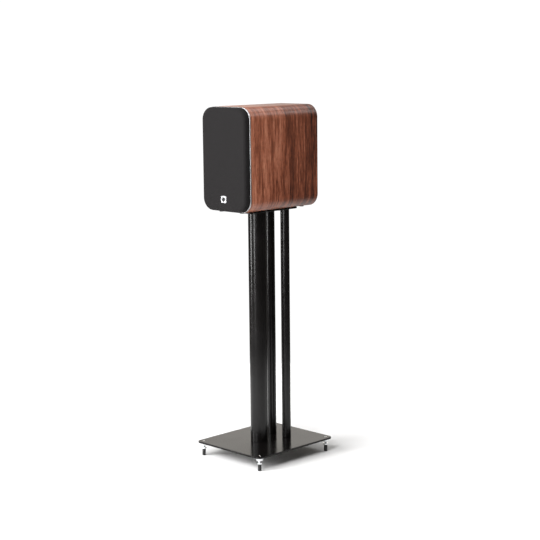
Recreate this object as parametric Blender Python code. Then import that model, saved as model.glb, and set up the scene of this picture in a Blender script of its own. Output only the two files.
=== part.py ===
"""Two-way bookshelf speaker bolted to its three-column floor stand.

World frame, in metres: +Z is up, the grille faces -Y, and the origin is on the floor under the
middle of the base plate. Every sub-part is its own object and its own closed solid.
"""

import math

import bmesh
import bpy
from mathutils import Vector

MM = 0.001
GAP = 0.3 * MM                    # air between pieces that touch on the real object
MERGE = 0.01 * MM
SMOOTH_ANGLE = math.radians(35)
FINE = 28                         # sides of the largest turned pieces
MEDIUM = 20
COARSE = 12

# ---- speaker, driving dimensions ----
SPEAKER_WIDTH = 0.170
SPEAKER_HEIGHT = 0.278
SPEAKER_BOTTOM = 0.6913           # height of the cabinet's underside above the floor
CORNER_RADIUS = 0.035
CABINET_DEPTH = 0.2572            # trim ring to rear edge
GRILLE_DEPTH = 0.0172
WALL = 0.015
TRIM_DEPTH = 0.0035
TRIM_WIDTH = 0.006
BADGE_SIZE = 0.020
BADGE_PROUD = 0.0008
BADGE_HEIGHT = 0.034              # badge centre above the cabinet's underside

# ---- stand, driving dimensions ----
BASE_WIDTH = 0.250
BASE_DEPTH = 0.290
BASE_TOP = 0.0412
BASE_THICKNESS = 0.005
BASE_CORNER = 0.013
TOP_PLATE_WIDTH = 0.116
TOP_PLATE_DEPTH = 0.186
TOP_PLATE_THICKNESS = 0.004
TOP_PLATE_MIDDLE = -0.013         # its centre along Y
FRONT_COLUMN_RADIUS = 0.0244
REAR_COLUMN_RADIUS = 0.0123
FRONT_COLUMN_Y = -0.0215
REAR_COLUMN_X = 0.0285
REAR_COLUMN_Y = 0.0575
FOOT_INSET = 0.0146               # spike axis to the base plate's edges

# ---- places worked out from them ----
FRONT = -BASE_DEPTH / 2 + BADGE_PROUD          # face of the grille cloth
BAFFLE = FRONT + GRILLE_DEPTH                  # plane that the grille rests on
REAR = BAFFLE + CABINET_DEPTH
SPEAKER_TOP = SPEAKER_BOTTOM + SPEAKER_HEIGHT
SPEAKER_MIDDLE = SPEAKER_BOTTOM + SPEAKER_HEIGHT / 2
FLOOR_INSIDE = SPEAKER_BOTTOM + WALL           # inner face of the cabinet's bottom wall
BOARD_UNDER = FLOOR_INSIDE + 5.0 * MM          # crossover board, held off the floor by spacers
BOARD_TOP = BOARD_UNDER + 1.6 * MM
WOOFER = Vector((0, BAFFLE, SPEAKER_BOTTOM + 0.098))
TWEETER = Vector((0, BAFFLE, SPEAKER_BOTTOM + 0.204))
PORT = Vector((0, REAR, SPEAKER_BOTTOM + 0.205))
CUP = Vector((0, REAR, SPEAKER_BOTTOM + 0.085))
CUP_FLOOR = REAR - 23.5 * MM
POST_X = 9.5 * MM                              # half of the 19 mm between binding posts
TOP_PLATE_TOP = SPEAKER_BOTTOM - GAP
TOP_PLATE_UNDER = TOP_PLATE_TOP - TOP_PLATE_THICKNESS
BASE_UNDER = BASE_TOP - BASE_THICKNESS
REAR_COLUMN = (REAR_COLUMN_RADIUS, 1.5 * MM)   # radius and wall
COLUMNS = {
    "stand_front_column": (Vector((0, FRONT_COLUMN_Y, 0)), FRONT_COLUMN_RADIUS, 2.0 * MM),
    "stand_rear_column_left": (Vector((-REAR_COLUMN_X, REAR_COLUMN_Y, 0)), *REAR_COLUMN),
    "stand_rear_column_right": (Vector((REAR_COLUMN_X, REAR_COLUMN_Y, 0)), *REAR_COLUMN),
}
FOOT_X = BASE_WIDTH / 2 - FOOT_INSET
FOOT_Y = BASE_DEPTH / 2 - FOOT_INSET
FEET = {
    "front_left": Vector((-FOOT_X, -FOOT_Y, 0)),
    "front_right": Vector((FOOT_X, -FOOT_Y, 0)),
    "rear_left": Vector((-FOOT_X, FOOT_Y, 0)),
    "rear_right": Vector((FOOT_X, FOOT_Y, 0)),
}

X_AXIS = Vector((1, 0, 0))
Y_AXIS = Vector((0, 1, 0))
Z_AXIS = Vector((0, 0, 1))

# ---- finishes: base colour, roughness, metallic ----
FINISHES = {
    "walnut_veneer": ((0.20, 0.075, 0.04), 0.35, 0.0),
    "black_board": ((0.02, 0.02, 0.02), 0.55, 0.0),
    "raw_board": ((0.36, 0.25, 0.15), 0.9, 0.0),
    "silver_trim": ((0.75, 0.75, 0.76), 0.3, 1.0),
    "grille_cloth": ((0.04, 0.037, 0.038), 0.95, 0.0),
    "black_plastic": ((0.015, 0.015, 0.016), 0.45, 0.0),
    "red_plastic": ((0.5, 0.02, 0.02), 0.35, 0.0),
    "rubber": ((0.012, 0.012, 0.012), 0.8, 0.0),
    "cone_paper": ((0.03, 0.03, 0.032), 0.7, 0.0),
    "dome_fabric": ((0.02, 0.02, 0.022), 0.6, 0.0),
    "spider_cloth": ((0.55, 0.42, 0.18), 0.95, 0.0),
    "copper": ((0.7, 0.32, 0.18), 0.35, 1.0),
    "brass": ((0.75, 0.55, 0.25), 0.3, 1.0),
    "zinc_steel": ((0.6, 0.6, 0.58), 0.35, 1.0),
    "ferrite": ((0.03, 0.03, 0.034), 0.6, 0.0),
    "chrome": ((0.85, 0.85, 0.86), 0.12, 1.0),
    "black_coat": ((0.012, 0.012, 0.013), 0.3, 0.0),
    "circuit_board": ((0.03, 0.16, 0.07), 0.5, 0.0),
    "film_sleeve": ((0.75, 0.5, 0.05), 0.4, 0.0),
    "lead_sleeve": ((0.5, 0.04, 0.03), 0.5, 0.0),
    "wadding": ((0.75, 0.75, 0.72), 1.0, 0.0),
}


def clear_scene():
    """Remove whatever the open file holds."""
    for item in list(bpy.data.objects):
        bpy.data.objects.remove(item, do_unlink=True)


def finish_material(name):
    """Return the named finish as a Principled BSDF material, made once."""
    found = bpy.data.materials.get(name)
    if found:
        return found
    colour, roughness, metallic = FINISHES[name]
    made = bpy.data.materials.new(name)
    made.use_nodes = True
    shader = made.node_tree.nodes["Principled BSDF"]
    shader.inputs["Base Color"].default_value = (*colour, 1.0)
    shader.inputs["Roughness"].default_value = roughness
    shader.inputs["Metallic"].default_value = metallic
    return made


def add_object(name, bm, finish, place=(0, 0, 0), smooth=False):
    """Turn a bmesh into a named object that stands at a place."""
    bmesh.ops.remove_doubles(bm, verts=bm.verts, dist=MERGE)
    bmesh.ops.recalc_face_normals(bm, faces=bm.faces)
    mesh = bpy.data.meshes.new(name)
    bm.to_mesh(mesh)
    bm.free()
    if smooth:
        mesh.shade_smooth()
        mesh.set_sharp_from_angle(angle=SMOOTH_ANGLE)
    item = bpy.data.objects.new(name, mesh)
    item.location = place
    if finish:
        mesh.materials.append(finish_material(finish))
    bpy.context.scene.collection.objects.link(item)
    return item


def repeat(bm, places):
    """Copy the bmesh's one solid to each place and remove the pattern."""
    pattern = bm.verts[:] + bm.edges[:] + bm.faces[:]
    corners = bm.verts[:]
    for place in places:
        copied = bmesh.ops.duplicate(bm, geom=pattern)["geom"]
        moved = [part for part in copied if isinstance(part, bmesh.types.BMVert)]
        bmesh.ops.translate(bm, verts=moved, vec=place)
    bmesh.ops.delete(bm, geom=corners, context="VERTS")


def spin_profile(profile, axis, segments):
    """Turn (radius, along) points about an axis; a profile that starts on the axis stays open."""
    bm = bmesh.new()
    outward = Y_AXIS if axis == X_AXIS else X_AXIS
    corners = [bm.verts.new(outward * radius + axis * along) for radius, along in profile]
    pairs = list(zip(corners, corners[1:]))
    if profile[0][0] > 0:
        pairs.append((corners[-1], corners[0]))
    edges = [bm.edges.new(pair) for pair in pairs]
    bmesh.ops.spin(
        bm, geom=corners + edges, cent=(0, 0, 0), axis=axis, angle=math.tau, steps=segments
    )
    bmesh.ops.remove_doubles(bm, verts=bm.verts, dist=MERGE)
    return bm


def turned(name, profile, axis, finish, place=(0, 0, 0), segments=MEDIUM):
    """A turned piece with its origin at a place."""
    return add_object(name, spin_profile(profile, axis, segments), finish, place, smooth=True)


def outline(width, height, radius, steps):
    """Corner-rounded rectangle about the origin, as (across, up) points."""
    points = []
    for quarter in range(4):
        turn = quarter * math.pi / 2
        side = 1 if quarter in (0, 3) else -1
        rise = 1 if quarter in (0, 1) else -1
        for step in range(steps + 1):
            angle = turn + step / steps * math.pi / 2
            across = side * (width / 2 - radius) + radius * math.cos(angle)
            up = rise * (height / 2 - radius) + radius * math.sin(angle)
            points.append((across, up))
    return points


def lofted(name, size, sections, finish, place, flat=False, hollow=False, steps=5):
    """Skin rounded rectangles: each section is (inset from the full size, position along).

    The positions run along Y, or along Z for a flat piece. A hollow piece joins its last
    section to its first; any other is capped at both ends.
    """
    width, height, radius = size
    bm = bmesh.new()
    loops = []
    for inset, along in sections:
        corner = max(radius - inset, 2.0 * MM)
        points = outline(width - 2 * inset, height - 2 * inset, corner, steps)
        if flat:
            loops.append([bm.verts.new((x, y, along)) for x, y in points])
        else:
            loops.append([bm.verts.new((x, along, z)) for x, z in points])
    pairs = list(zip(loops, loops[1:]))
    if hollow:
        pairs.append((loops[-1], loops[0]))
    else:
        bm.faces.new(loops[0])
        bm.faces.new(loops[-1])
    for first, second in pairs:
        for index, corner in enumerate(first):
            following = (index + 1) % len(first)
            bm.faces.new((corner, first[following], second[following], second[index]))
    return add_object(name, bm, finish, place)


def block(name, low, high, finish):
    """A box, given by its low and high corners."""
    bm = bmesh.new()
    made = bmesh.ops.create_cube(bm, size=1.0)["verts"]
    bmesh.ops.scale(bm, verts=made, vec=Vector(high) - Vector(low))
    bmesh.ops.translate(bm, verts=made, vec=(Vector(low) + Vector(high)) / 2)
    return add_object(name, bm, finish)


def hide_tool(tool):
    tool.hide_render = True
    tool.display_type = "WIRE"


def combine(target, tool, operation):
    """Cut a tool's solid from the target, or join it on."""
    change = target.modifiers.new(tool.name, "BOOLEAN")
    change.operation = operation
    change.solver = "EXACT"
    change.object = tool
    hide_tool(tool)


def cut_turned(target, label, profile, axis, places, segments):
    """Cut the same turned hollow at each place."""
    bm = spin_profile(profile, axis, segments)
    repeat(bm, places)
    combine(target, add_object(f"{label}_cutter", bm, None), "DIFFERENCE")


def drill(target, label, radius, start, end, axis, places, segments=MEDIUM):
    """Cut equal round holes that run from start to end along an axis."""
    profile = [(0, start), (radius, start), (radius, end), (0, end)]
    cut_turned(target, label, profile, axis, places, segments)


def sheet(path, thickness):
    """Closed (radius, along) profile of a thin sheet, half its thickness each side of a path."""
    front = []
    back = []
    for index, (radius, along) in enumerate(path):
        before = path[max(index - 1, 0)]
        after = path[min(index + 1, len(path) - 1)]
        run = Vector((after[0] - before[0], after[1] - before[1])).normalized()
        side = Vector((run.y, -run.x)) * thickness / 2
        if radius == 0:
            side = Vector((0, -thickness / 2))
        front.append((radius + side.x, along + side.y))
        back.append((radius - side.x, along - side.y))
    return front + back[::-1]


def half_roll(middle, radius, along, steps):
    """Points of a half circle that bulges towards the listener, outer end first."""
    angles = [step / steps * math.pi for step in range(steps + 1)]
    return [(middle + radius * math.cos(a), along - radius * math.sin(a)) for a in angles]


def dome(base_radius, apex, rim, steps):
    """Points of a spherical cap from its apex on the axis to its rim."""
    rise = rim - apex
    sphere = (base_radius ** 2 + rise ** 2) / (2 * rise)
    points = []
    for step in range(steps + 1):
        radius = base_radius * step / steps
        points.append((radius, apex + sphere - math.sqrt(sphere ** 2 - radius ** 2)))
    return points


def scaled(profile):
    """Profile given in millimetres, in metres."""
    return [(radius * MM, along * MM) for radius, along in profile]


def ring_places(centre, radius, count, first_angle):
    """Equally spaced points on a circle that faces along Y."""
    places = []
    for index in range(count):
        angle = first_angle + index * math.tau / count
        places.append(centre + Vector((radius * math.cos(angle), 0, radius * math.sin(angle))))
    return places


CUP_SIZE = (0.084, 0.096, 0.008)
CABINET_SIZE = (SPEAKER_WIDTH, SPEAKER_HEIGHT, CORNER_RADIUS)
CABINET_PLACE = (0, 0, SPEAKER_MIDDLE)
SHELL_FRONT = BAFFLE + TRIM_DEPTH + GAP
WOOFER_SCREWS = ring_places(WOOFER, 61.25 * MM, 4, math.radians(45))
TWEETER_SCREWS = ring_places(TWEETER, 33.0 * MM, 3, math.radians(90))
MAGNET_X = SPEAKER_WIDTH / 2 - 11.5 * MM
MAGNET_RISE = 0.085                            # above and below the middle of the cabinet
MAGNET_PLACES = [
    Vector((side * MAGNET_X, BAFFLE, SPEAKER_MIDDLE + rise * MAGNET_RISE))
    for side in (-1, 1)
    for rise in (-1, 1)
]
UNDERSIDE_X = 0.040                            # rubber feet and stand screws, either side
MOUNT_SCREWS = [
    Vector((side * UNDERSIDE_X, along, 0)) for side in (-1, 1) for along in (-0.080, 0.022)
]
CUP_SCREWS = [CUP + Vector((side * 0.037, 0, rise * 0.043)) for side in (-1, 1) for rise in (-1, 1)]
POST_PLACES = {
    "red": Vector((-POST_X, CUP_FLOOR, CUP.z)),
    "black": Vector((POST_X, CUP_FLOOR, CUP.z)),
}


def make_cabinet():
    """Wrapped shell, front baffle, rear panel, brace and the silver ring round the baffle."""
    shell_sections = [(0, SHELL_FRONT), (0, REAR), (WALL, REAR), (WALL, SHELL_FRONT)]
    shell = lofted(
        "cabinet_shell", CABINET_SIZE, shell_sections, "walnut_veneer", CABINET_PLACE, hollow=True
    )
    drill(shell, "insert_holes", 2.8 * MM, SPEAKER_BOTTOM - 1 * MM, SPEAKER_BOTTOM + 12.7 * MM,
          Z_AXIS, MOUNT_SCREWS, COARSE)

    ring_sections = [
        (0, BAFFLE + 0.4 * MM), (0, BAFFLE + TRIM_DEPTH), (TRIM_WIDTH, BAFFLE + TRIM_DEPTH),
        (TRIM_WIDTH, BAFFLE), (0.4 * MM, BAFFLE),
    ]
    lofted("trim_ring", CABINET_SIZE, ring_sections, "silver_trim", CABINET_PLACE, hollow=True)

    face_inset = TRIM_WIDTH + GAP
    board_inset = WALL + GAP
    baffle_sections = [
        (face_inset, BAFFLE + GAP), (face_inset, BAFFLE + TRIM_DEPTH),
        (board_inset, BAFFLE + TRIM_DEPTH), (board_inset, BAFFLE + 18.5 * MM),
    ]
    baffle = lofted("front_baffle", CABINET_SIZE, baffle_sections, "black_board", CABINET_PLACE)
    drill(baffle, "woofer_recess", 65.3 * MM, -2 * MM, 4.3 * MM, Y_AXIS, [WOOFER], FINE)
    drill(baffle, "woofer_opening", 52.3 * MM, -2 * MM, 25 * MM, Y_AXIS, [WOOFER], FINE)
    drill(baffle, "tweeter_recess", 38.3 * MM, -2 * MM, 4.8 * MM, Y_AXIS, [TWEETER], FINE)
    drill(baffle, "tweeter_opening", 24.0 * MM, -2 * MM, 25 * MM, Y_AXIS, [TWEETER], FINE)
    drill(baffle, "keeper_pockets", 3.8 * MM, -2 * MM, 2.7 * MM, Y_AXIS, MAGNET_PLACES, COARSE)

    panel_sections = [(board_inset, REAR - 21 * MM), (board_inset, REAR - 3 * MM)]
    panel = lofted("rear_panel", CABINET_SIZE, panel_sections, "black_board", CABINET_PLACE)
    drill(panel, "port_hole", 23.0 * MM, -30 * MM, 2 * MM, Y_AXIS, [PORT], FINE)
    cup_hole = [(7.5 * MM, REAR - 30 * MM), (7.5 * MM, REAR + 2 * MM)]
    hole = lofted("cup_hole_cutter", CUP_SIZE, cup_hole, None, (0, 0, CUP.z), steps=2)
    combine(panel, hole, "DIFFERENCE")

    brace_sections = [
        (board_inset, -0.030), (board_inset, -0.018), (2 * WALL + GAP, -0.018),
        (2 * WALL + GAP, -0.030),
    ]
    lofted("internal_brace", CABINET_SIZE, brace_sections, "raw_board", CABINET_PLACE, hollow=True)


def make_grille():
    """Moulded frame with magnet pockets, the cloth stretched over it, and a plain badge."""
    cloth = 1.0 * MM                          # cloth with its backing
    edge = 1.2 * MM                           # cloth stays this far inside the cabinet's outline
    bend = 9.0 * MM                           # rounding of the front edge
    quarter = [math.radians(angle) for angle in (0, 30, 60, 90)]

    def bent(inset, radius, face):
        return [
            (inset + radius * (1 - math.sin(a)), face + radius * (1 - math.cos(a)))
            for a in quarter
        ]

    outer = bent(edge, bend, FRONT) + [(edge, BAFFLE - GAP)]
    inner = bent(edge + cloth, bend - cloth, FRONT + cloth) + [(edge + cloth, BAFFLE - GAP)]
    lofted("grille_cloth", CABINET_SIZE, outer + inner[::-1], "grille_cloth", CABINET_PLACE)

    frame_inset = edge + cloth + GAP
    frame_bend = bend - cloth - GAP
    frame_face = FRONT + cloth + GAP
    inner_inset = 16.5 * MM
    shoulder = bent(frame_inset, frame_bend, frame_face)[1:]
    frame_sections = shoulder + [
        (frame_inset, BAFFLE - GAP), (inner_inset, BAFFLE - GAP), (inner_inset, shoulder[0][1])
    ]
    frame = lofted(
        "grille_frame", CABINET_SIZE, frame_sections, "black_plastic", CABINET_PLACE, hollow=True
    )
    bar_half = SPEAKER_WIDTH / 2 - 12 * MM
    bar_height = (WOOFER.z + TWEETER.z + 27 * MM) / 2
    bar_low = (-bar_half, FRONT + 4 * MM, bar_height - 3 * MM)
    bar_high = (bar_half, FRONT + 8 * MM, bar_height + 3 * MM)
    combine(frame, block("grille_bar_tool", bar_low, bar_high, None), "UNION")
    drill(frame, "magnet_pockets", 3.7 * MM, -3.6 * MM, 2 * MM, Y_AXIS, MAGNET_PLACES, COARSE)

    badge_sections = [
        (0.3 * MM, FRONT - BADGE_PROUD), (0, FRONT - 0.5 * MM), (0, FRONT - 0.2 * MM)
    ]
    lofted("badge_plate", (BADGE_SIZE, BADGE_SIZE, 4 * MM), badge_sections, "silver_trim",
           (0, 0, SPEAKER_BOTTOM + BADGE_HEIGHT), steps=4)


def make_woofer():
    """Moving-coil bass driver, front to back; profiles are (radius, depth) in millimetres."""
    basket_profile = scaled([
        (65, 0.5), (65, 4), (52, 4), (51.5, 6), (38.5, 38), (38.5, 41), (17, 41), (17, 38),
        (32.5, 38), (32.5, 32.5), (38.7, 32.5), (49.5, 6), (49.5, 2), (57.5, 2), (57.5, 0.5),
    ])
    basket = turned("woofer_basket", basket_profile, Y_AXIS, "black_coat", WOOFER, FINE)
    window_low = (-60 * MM, 9 * MM, -13 * MM)
    window_high = (60 * MM, 29 * MM, 13 * MM)
    for index in range(3):
        tool = block(f"basket_window_{index}_cutter", window_low, window_high, None)
        tool.location = WOOFER
        tool.rotation_euler = (0, math.radians(60) * index, 0)
        combine(basket, tool, "DIFFERENCE")
    drill(basket, "flange_holes", 2.0 * MM, -2 * MM, 6 * MM, Y_AXIS, WOOFER_SCREWS, 8)

    roll = [(57.2, 1.35)] + half_roll(46.0, 4.6, 1.35, 4) + [(38.2, 1.35)]
    turned("woofer_surround", scaled(sheet(roll, 0.7)), Y_AXIS, "rubber", WOOFER, FINE)
    cone = [(41.0, 2.5), (37.5, 2.5), (26.0, 12.0), (14.2, 24.5)]
    turned("woofer_cone", scaled(sheet(cone, 1.0)), Y_AXIS, "cone_paper", WOOFER, FINE)
    cap = dome(17.5, 14.0, 19.6, 3)
    turned("woofer_dust_cap", scaled(sheet(cap, 0.8)), Y_AXIS, "rubber", WOOFER)
    folds = [(36.4, 31.85), (32.0, 31.85)]
    folds += [(30.0 - 3.4 * step, 31.85 + (-1) ** step * 0.9) for step in range(4)]
    folds += [(17.3, 31.85), (13.8, 31.85)]
    turned("woofer_spider", scaled(sheet(folds, 0.6)), Y_AXIS, "spider_cloth", WOOFER)
    coil = scaled([
        (12.7, 21.5), (13.4, 21.5), (13.4, 36), (14.2, 36), (14.2, 48), (13.4, 48), (13.4, 49),
        (12.7, 49),
    ])
    turned("woofer_voice_coil", coil, Y_AXIS, "copper", WOOFER)
    top_plate = scaled([(14.9, 41.3), (36, 41.3), (36, 46.3), (14.9, 46.3)])
    turned("woofer_top_plate", top_plate, Y_AXIS, "zinc_steel", WOOFER)
    magnet = scaled([(20, 46.6), (40, 46.6), (40, 61.6), (20, 61.6)])
    turned("woofer_magnet", magnet, Y_AXIS, "ferrite", WOOFER)
    yoke = scaled([(0, 40.5), (12.1, 40.5), (12.1, 61.9), (37, 61.9), (37, 66.9), (0, 66.9)])
    turned("woofer_yoke", yoke, Y_AXIS, "zinc_steel", WOOFER)


def make_tweeter():
    """Soft-dome driver, front to back; profiles are (radius, depth) in millimetres."""
    plate = scaled([
        (38, 0.5), (38, 4.5), (22.5, 4.5), (22.5, 5.7), (17.6, 5.7), (17.6, 4.5), (15.6, 4.5),
        (17.5, 2.2), (22, 0.5),
    ])
    faceplate = turned("tweeter_faceplate", plate, Y_AXIS, "black_plastic", TWEETER, FINE)
    drill(faceplate, "faceplate_holes", 2.0 * MM, -2 * MM, 8 * MM, Y_AXIS, TWEETER_SCREWS, 8)
    roll = [(17.2, 5.05)] + half_roll(12.85, 1.5, 5.05, 3) + [(11.15, 5.05)]
    turned("tweeter_surround", scaled(sheet(roll, 0.3)), Y_AXIS, "rubber", TWEETER)
    cap = dome(10.5, 1.0, 4.8, 3)
    turned("tweeter_dome", scaled(sheet(cap, 0.4)), Y_AXIS, "dome_fabric", TWEETER)
    coil = scaled([
        (10.75, 5.6), (11.05, 5.6), (11.05, 6.6), (11.45, 6.6), (11.45, 9.4), (11.05, 9.4),
        (11.05, 10.5), (10.75, 10.5),
    ])
    turned("tweeter_voice_coil", coil, Y_AXIS, "copper", TWEETER)
    top_plate = scaled([(12.0, 6.0), (22, 6.0), (22, 8.6), (12.0, 8.6)])
    turned("tweeter_top_plate", top_plate, Y_AXIS, "zinc_steel", TWEETER)
    magnet = scaled([(14, 8.9), (22, 8.9), (22, 16.9), (14, 16.9)])
    turned("tweeter_magnet", magnet, Y_AXIS, "ferrite", TWEETER)
    yoke = scaled([(0, 6.2), (10.2, 6.2), (10.2, 17.2), (21.5, 17.2), (21.5, 20.2), (0, 20.2)])
    turned("tweeter_yoke", yoke, Y_AXIS, "zinc_steel", TWEETER)


def make_rear():
    """Reflex port, recessed terminal cup, and two binding posts with their washers and nuts."""
    port_profile = scaled([
        (33, -0.8), (33, -2.7), (22.5, -2.7), (22.5, -120), (20, -120), (20, -9), (21.2, -4.4),
        (24.4, -1.2), (28.5, -0.2), (32.4, -0.2),
    ])
    turned("port_tube", port_profile, Y_AXIS, "black_plastic", PORT, FINE)

    cup_sections = [
        (12 * MM, CUP_FLOOR), (10 * MM, REAR - 2 * MM), (9.2 * MM, REAR - 0.2 * MM),
        (0.8 * MM, REAR - 0.2 * MM), (0, REAR - 1 * MM), (0, REAR - 2.7 * MM),
        (8 * MM, REAR - 2.7 * MM), (9.8 * MM, CUP_FLOOR - 2 * MM),
    ]
    cup = lofted("terminal_cup", CUP_SIZE, cup_sections, "black_plastic", (0, 0, CUP.z), steps=3)
    drill(cup, "post_holes", 3.3 * MM, -4 * MM, 3 * MM, Y_AXIS, list(POST_PLACES.values()), COARSE)
    drill(cup, "cup_screw_holes", 1.9 * MM, -5 * MM, 2 * MM, Y_AXIS, CUP_SCREWS, 8)
    post = scaled([
        (0, -9), (2.9, -9), (2.9, -5), (5, -5), (5, -2.3), (2.9, -2.3), (2.9, 15), (2.05, 15),
        (2.05, 8), (0, 8),
    ])
    washer = scaled([(3.3, 0.3), (5.6, 0.3), (5.6, 1.8), (3.3, 1.8)])
    nut = scaled([(3.3, 2.1), (6.3, 2.1), (6.9, 2.7), (6.9, 14.9), (6.3, 15.5), (3.3, 15.5)])
    for colour, place in POST_PLACES.items():
        turned(f"terminal_post_{colour}", post, Y_AXIS, "brass", place, COARSE)
        turned(f"terminal_washer_{colour}", washer, Y_AXIS, "brass", place, COARSE)
        turned(f"terminal_nut_{colour}", nut, Y_AXIS, f"{colour}_plastic", place, COARSE)


def make_crossover():
    """Filter board behind the brace, with its largest coil and capacitor."""
    half = 0.042                              # half the board's width
    block("crossover_board", (-half, -0.010, BOARD_UNDER), (half, 0.080, BOARD_TOP), "circuit_board")
    seat = BOARD_TOP + GAP
    winding = [(7 * MM, seat), (15 * MM, seat), (15 * MM, seat + 16 * MM), (7 * MM, seat + 16 * MM)]
    turned("crossover_inductor", winding, Z_AXIS, "copper", (-0.021, 0.013, 0))
    can_radius = 7 * MM
    can_half = 14 * MM                        # half its length
    can = [(0, -can_half), (can_radius, -can_half), (can_radius, can_half), (0, can_half)]
    turned("crossover_capacitor", can, X_AXIS, "film_sleeve", (0.022, 0.008, seat + can_radius),
           COARSE)


def make_wadding():
    """Damping mat in one piece against the top and both side walls, open below."""
    inner_top = SPEAKER_TOP - WALL - 0.8 * MM
    inner_side = SPEAKER_WIDTH / 2 - WALL - 0.8 * MM
    bend = CORNER_RADIUS - WALL
    thick = 0.020
    foot = 0.762                              # lower ends of the mat
    start = -0.012                            # behind the brace
    length = 0.107                            # to just short of the rear panel
    half = []
    for step in range(5):
        angle = step / 4 * math.pi / 2
        across = inner_side - bend + bend * math.cos(angle)
        half.append((across, inner_top - bend + bend * math.sin(angle)))
    outer = [(inner_side, foot)] + half
    inner = [(inner_side - thick, foot), (inner_side - thick, inner_top - thick)]
    right = inner[::-1] + outer
    left = [(-across, up) for across, up in right[::-1]]
    bm = bmesh.new()
    face = bm.faces.new([bm.verts.new((across, start, up)) for across, up in right + left])
    grown = bmesh.ops.extrude_face_region(bm, geom=[face])["geom"]
    moved = [part for part in grown if isinstance(part, bmesh.types.BMVert)]
    bmesh.ops.translate(bm, verts=moved, vec=(0, length, 0))
    add_object("damping_wadding", bm, "wadding")


def smooth_route(points, pieces):
    """Points along a smooth curve through hand-placed points."""
    padded = [points[0]] + points + [points[-1]]
    route = []
    for index in range(1, len(padded) - 2):
        before, start, end, after = (Vector(padded[index + shift]) for shift in (-1, 0, 1, 2))
        for piece in range(pieces):
            t = piece / pieces
            blend = 2 * start + (end - before) * t
            blend += (2 * before - 5 * start + 4 * end - after) * t * t
            blend += (3 * start - before - 3 * end + after) * t ** 3
            route.append(blend / 2)
    route.append(Vector(points[-1]))
    return route


def make_leads():
    """Two-core leads: posts to board, board to woofer, board to tweeter."""
    low = BOARD_TOP + 4 * MM
    routes = {
        "input": [
            (0, CUP_FLOOR - 12 * MM, CUP.z), (0, 0.095, 0.765), (0, 0.088, 0.735), (0, 0.078, low),
        ],
        "woofer": [
            (0.034, -0.004, low), (0.036, -0.015, 0.735), (0.045, -0.040, 0.755),
            (0.047, -0.075, 0.775), (0.0425, -0.0920, WOOFER.z),
        ],
        "tweeter": [
            (-0.034, -0.006, low + 15 * MM), (-0.040, -0.018, 0.755), (-0.042, -0.030, 0.790),
            (-0.044, -0.048, 0.845), (-0.036, -0.070, 0.882), (-0.016, -0.101, TWEETER.z),
        ],
    }
    for use, points in routes.items():
        route = smooth_route(points, 3)
        curve = bpy.data.curves.new(f"internal_lead_{use}", "CURVE")
        curve.dimensions = "3D"
        curve.bevel_depth = 1.4 * MM
        curve.bevel_resolution = 1
        curve.use_fill_caps = True
        curve.materials.append(finish_material("lead_sleeve"))
        spline = curve.splines.new("POLY")
        spline.points.add(len(route) - 1)
        for point, place in zip(spline.points, route):
            point.co = (*place, 1)
        lead = bpy.data.objects.new(curve.name, curve)
        bpy.context.scene.collection.objects.link(lead)


def make_rubber_feet():
    """The speaker's own rubber feet, which hang free past the ends of the stand's top plate."""
    pad = [(0, SPEAKER_BOTTOM - 3.3 * MM), (5.9 * MM, SPEAKER_BOTTOM - 3.3 * MM),
           (6.3 * MM, SPEAKER_BOTTOM - GAP), (0, SPEAKER_BOTTOM - GAP)]
    for end, along in (("front", BAFFLE + 12 * MM), ("rear", REAR - 18 * MM)):
        for side, sign in (("left", -1), ("right", 1)):
            turned(f"speaker_foot_{end}_{side}", pad, Z_AXIS, "rubber",
                   (sign * UNDERSIDE_X, along, 0), COARSE)


def countersink(face, into):
    """Hollow for a countersunk column bolt: +1 cuts upwards from a face, -1 downwards."""
    return [
        (0, face - into * 1.0 * MM), (7.6 * MM, face - into * 1.0 * MM),
        (3.4 * MM, face + into * 3.2 * MM), (3.4 * MM, face + into * 7.0 * MM),
        (0, face + into * 7.0 * MM),
    ]


def make_stand():
    """Top plate, three tubular columns with welded end caps, and the base plate."""
    column_places = [place for place, radius, wall in COLUMNS.values()]
    half_millimetre = 0.5 * MM
    top_sections = [
        (half_millimetre, TOP_PLATE_UNDER), (0, TOP_PLATE_UNDER + half_millimetre),
        (0, TOP_PLATE_TOP - half_millimetre), (half_millimetre, TOP_PLATE_TOP),
    ]
    top_plate = lofted("stand_top_plate", (TOP_PLATE_WIDTH, TOP_PLATE_DEPTH, 8 * MM), top_sections,
                       "black_coat", (0, TOP_PLATE_MIDDLE, 0), flat=True, steps=3)
    drill(top_plate, "mount_holes", 2.8 * MM, TOP_PLATE_UNDER - 1 * MM, TOP_PLATE_TOP + 1 * MM,
          Z_AXIS, MOUNT_SCREWS, COARSE)
    cut_turned(top_plate, "top_countersinks", countersink(TOP_PLATE_TOP, -1), Z_AXIS,
               column_places, COARSE)

    chamfer = 0.8 * MM
    base_sections = [
        (chamfer, BASE_UNDER), (0, BASE_UNDER + chamfer), (0, BASE_TOP - chamfer),
        (chamfer, BASE_TOP),
    ]
    base = lofted("stand_base_plate", (BASE_WIDTH, BASE_DEPTH, BASE_CORNER), base_sections,
                  "black_coat", (0, 0, 0), flat=True, steps=4)
    drill(base, "spike_holes", 4.3 * MM, BASE_UNDER - 1 * MM, BASE_TOP + 1 * MM, Z_AXIS,
          list(FEET.values()), 16)
    cut_turned(base, "base_countersinks", countersink(BASE_UNDER, 1), Z_AXIS, column_places,
               COARSE)

    low = BASE_TOP + GAP
    high = TOP_PLATE_UNDER - GAP
    cap = 12 * MM
    bore = 3.4 * MM
    for name, (place, radius, wall) in COLUMNS.items():
        tube = [
            (bore, low), (radius, low), (radius, high), (bore, high), (bore, high - cap),
            (radius - wall, high - cap), (radius - wall, low + cap), (bore, low + cap),
        ]
        turned(name, tube, Z_AXIS, "black_coat", place, 24)


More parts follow.
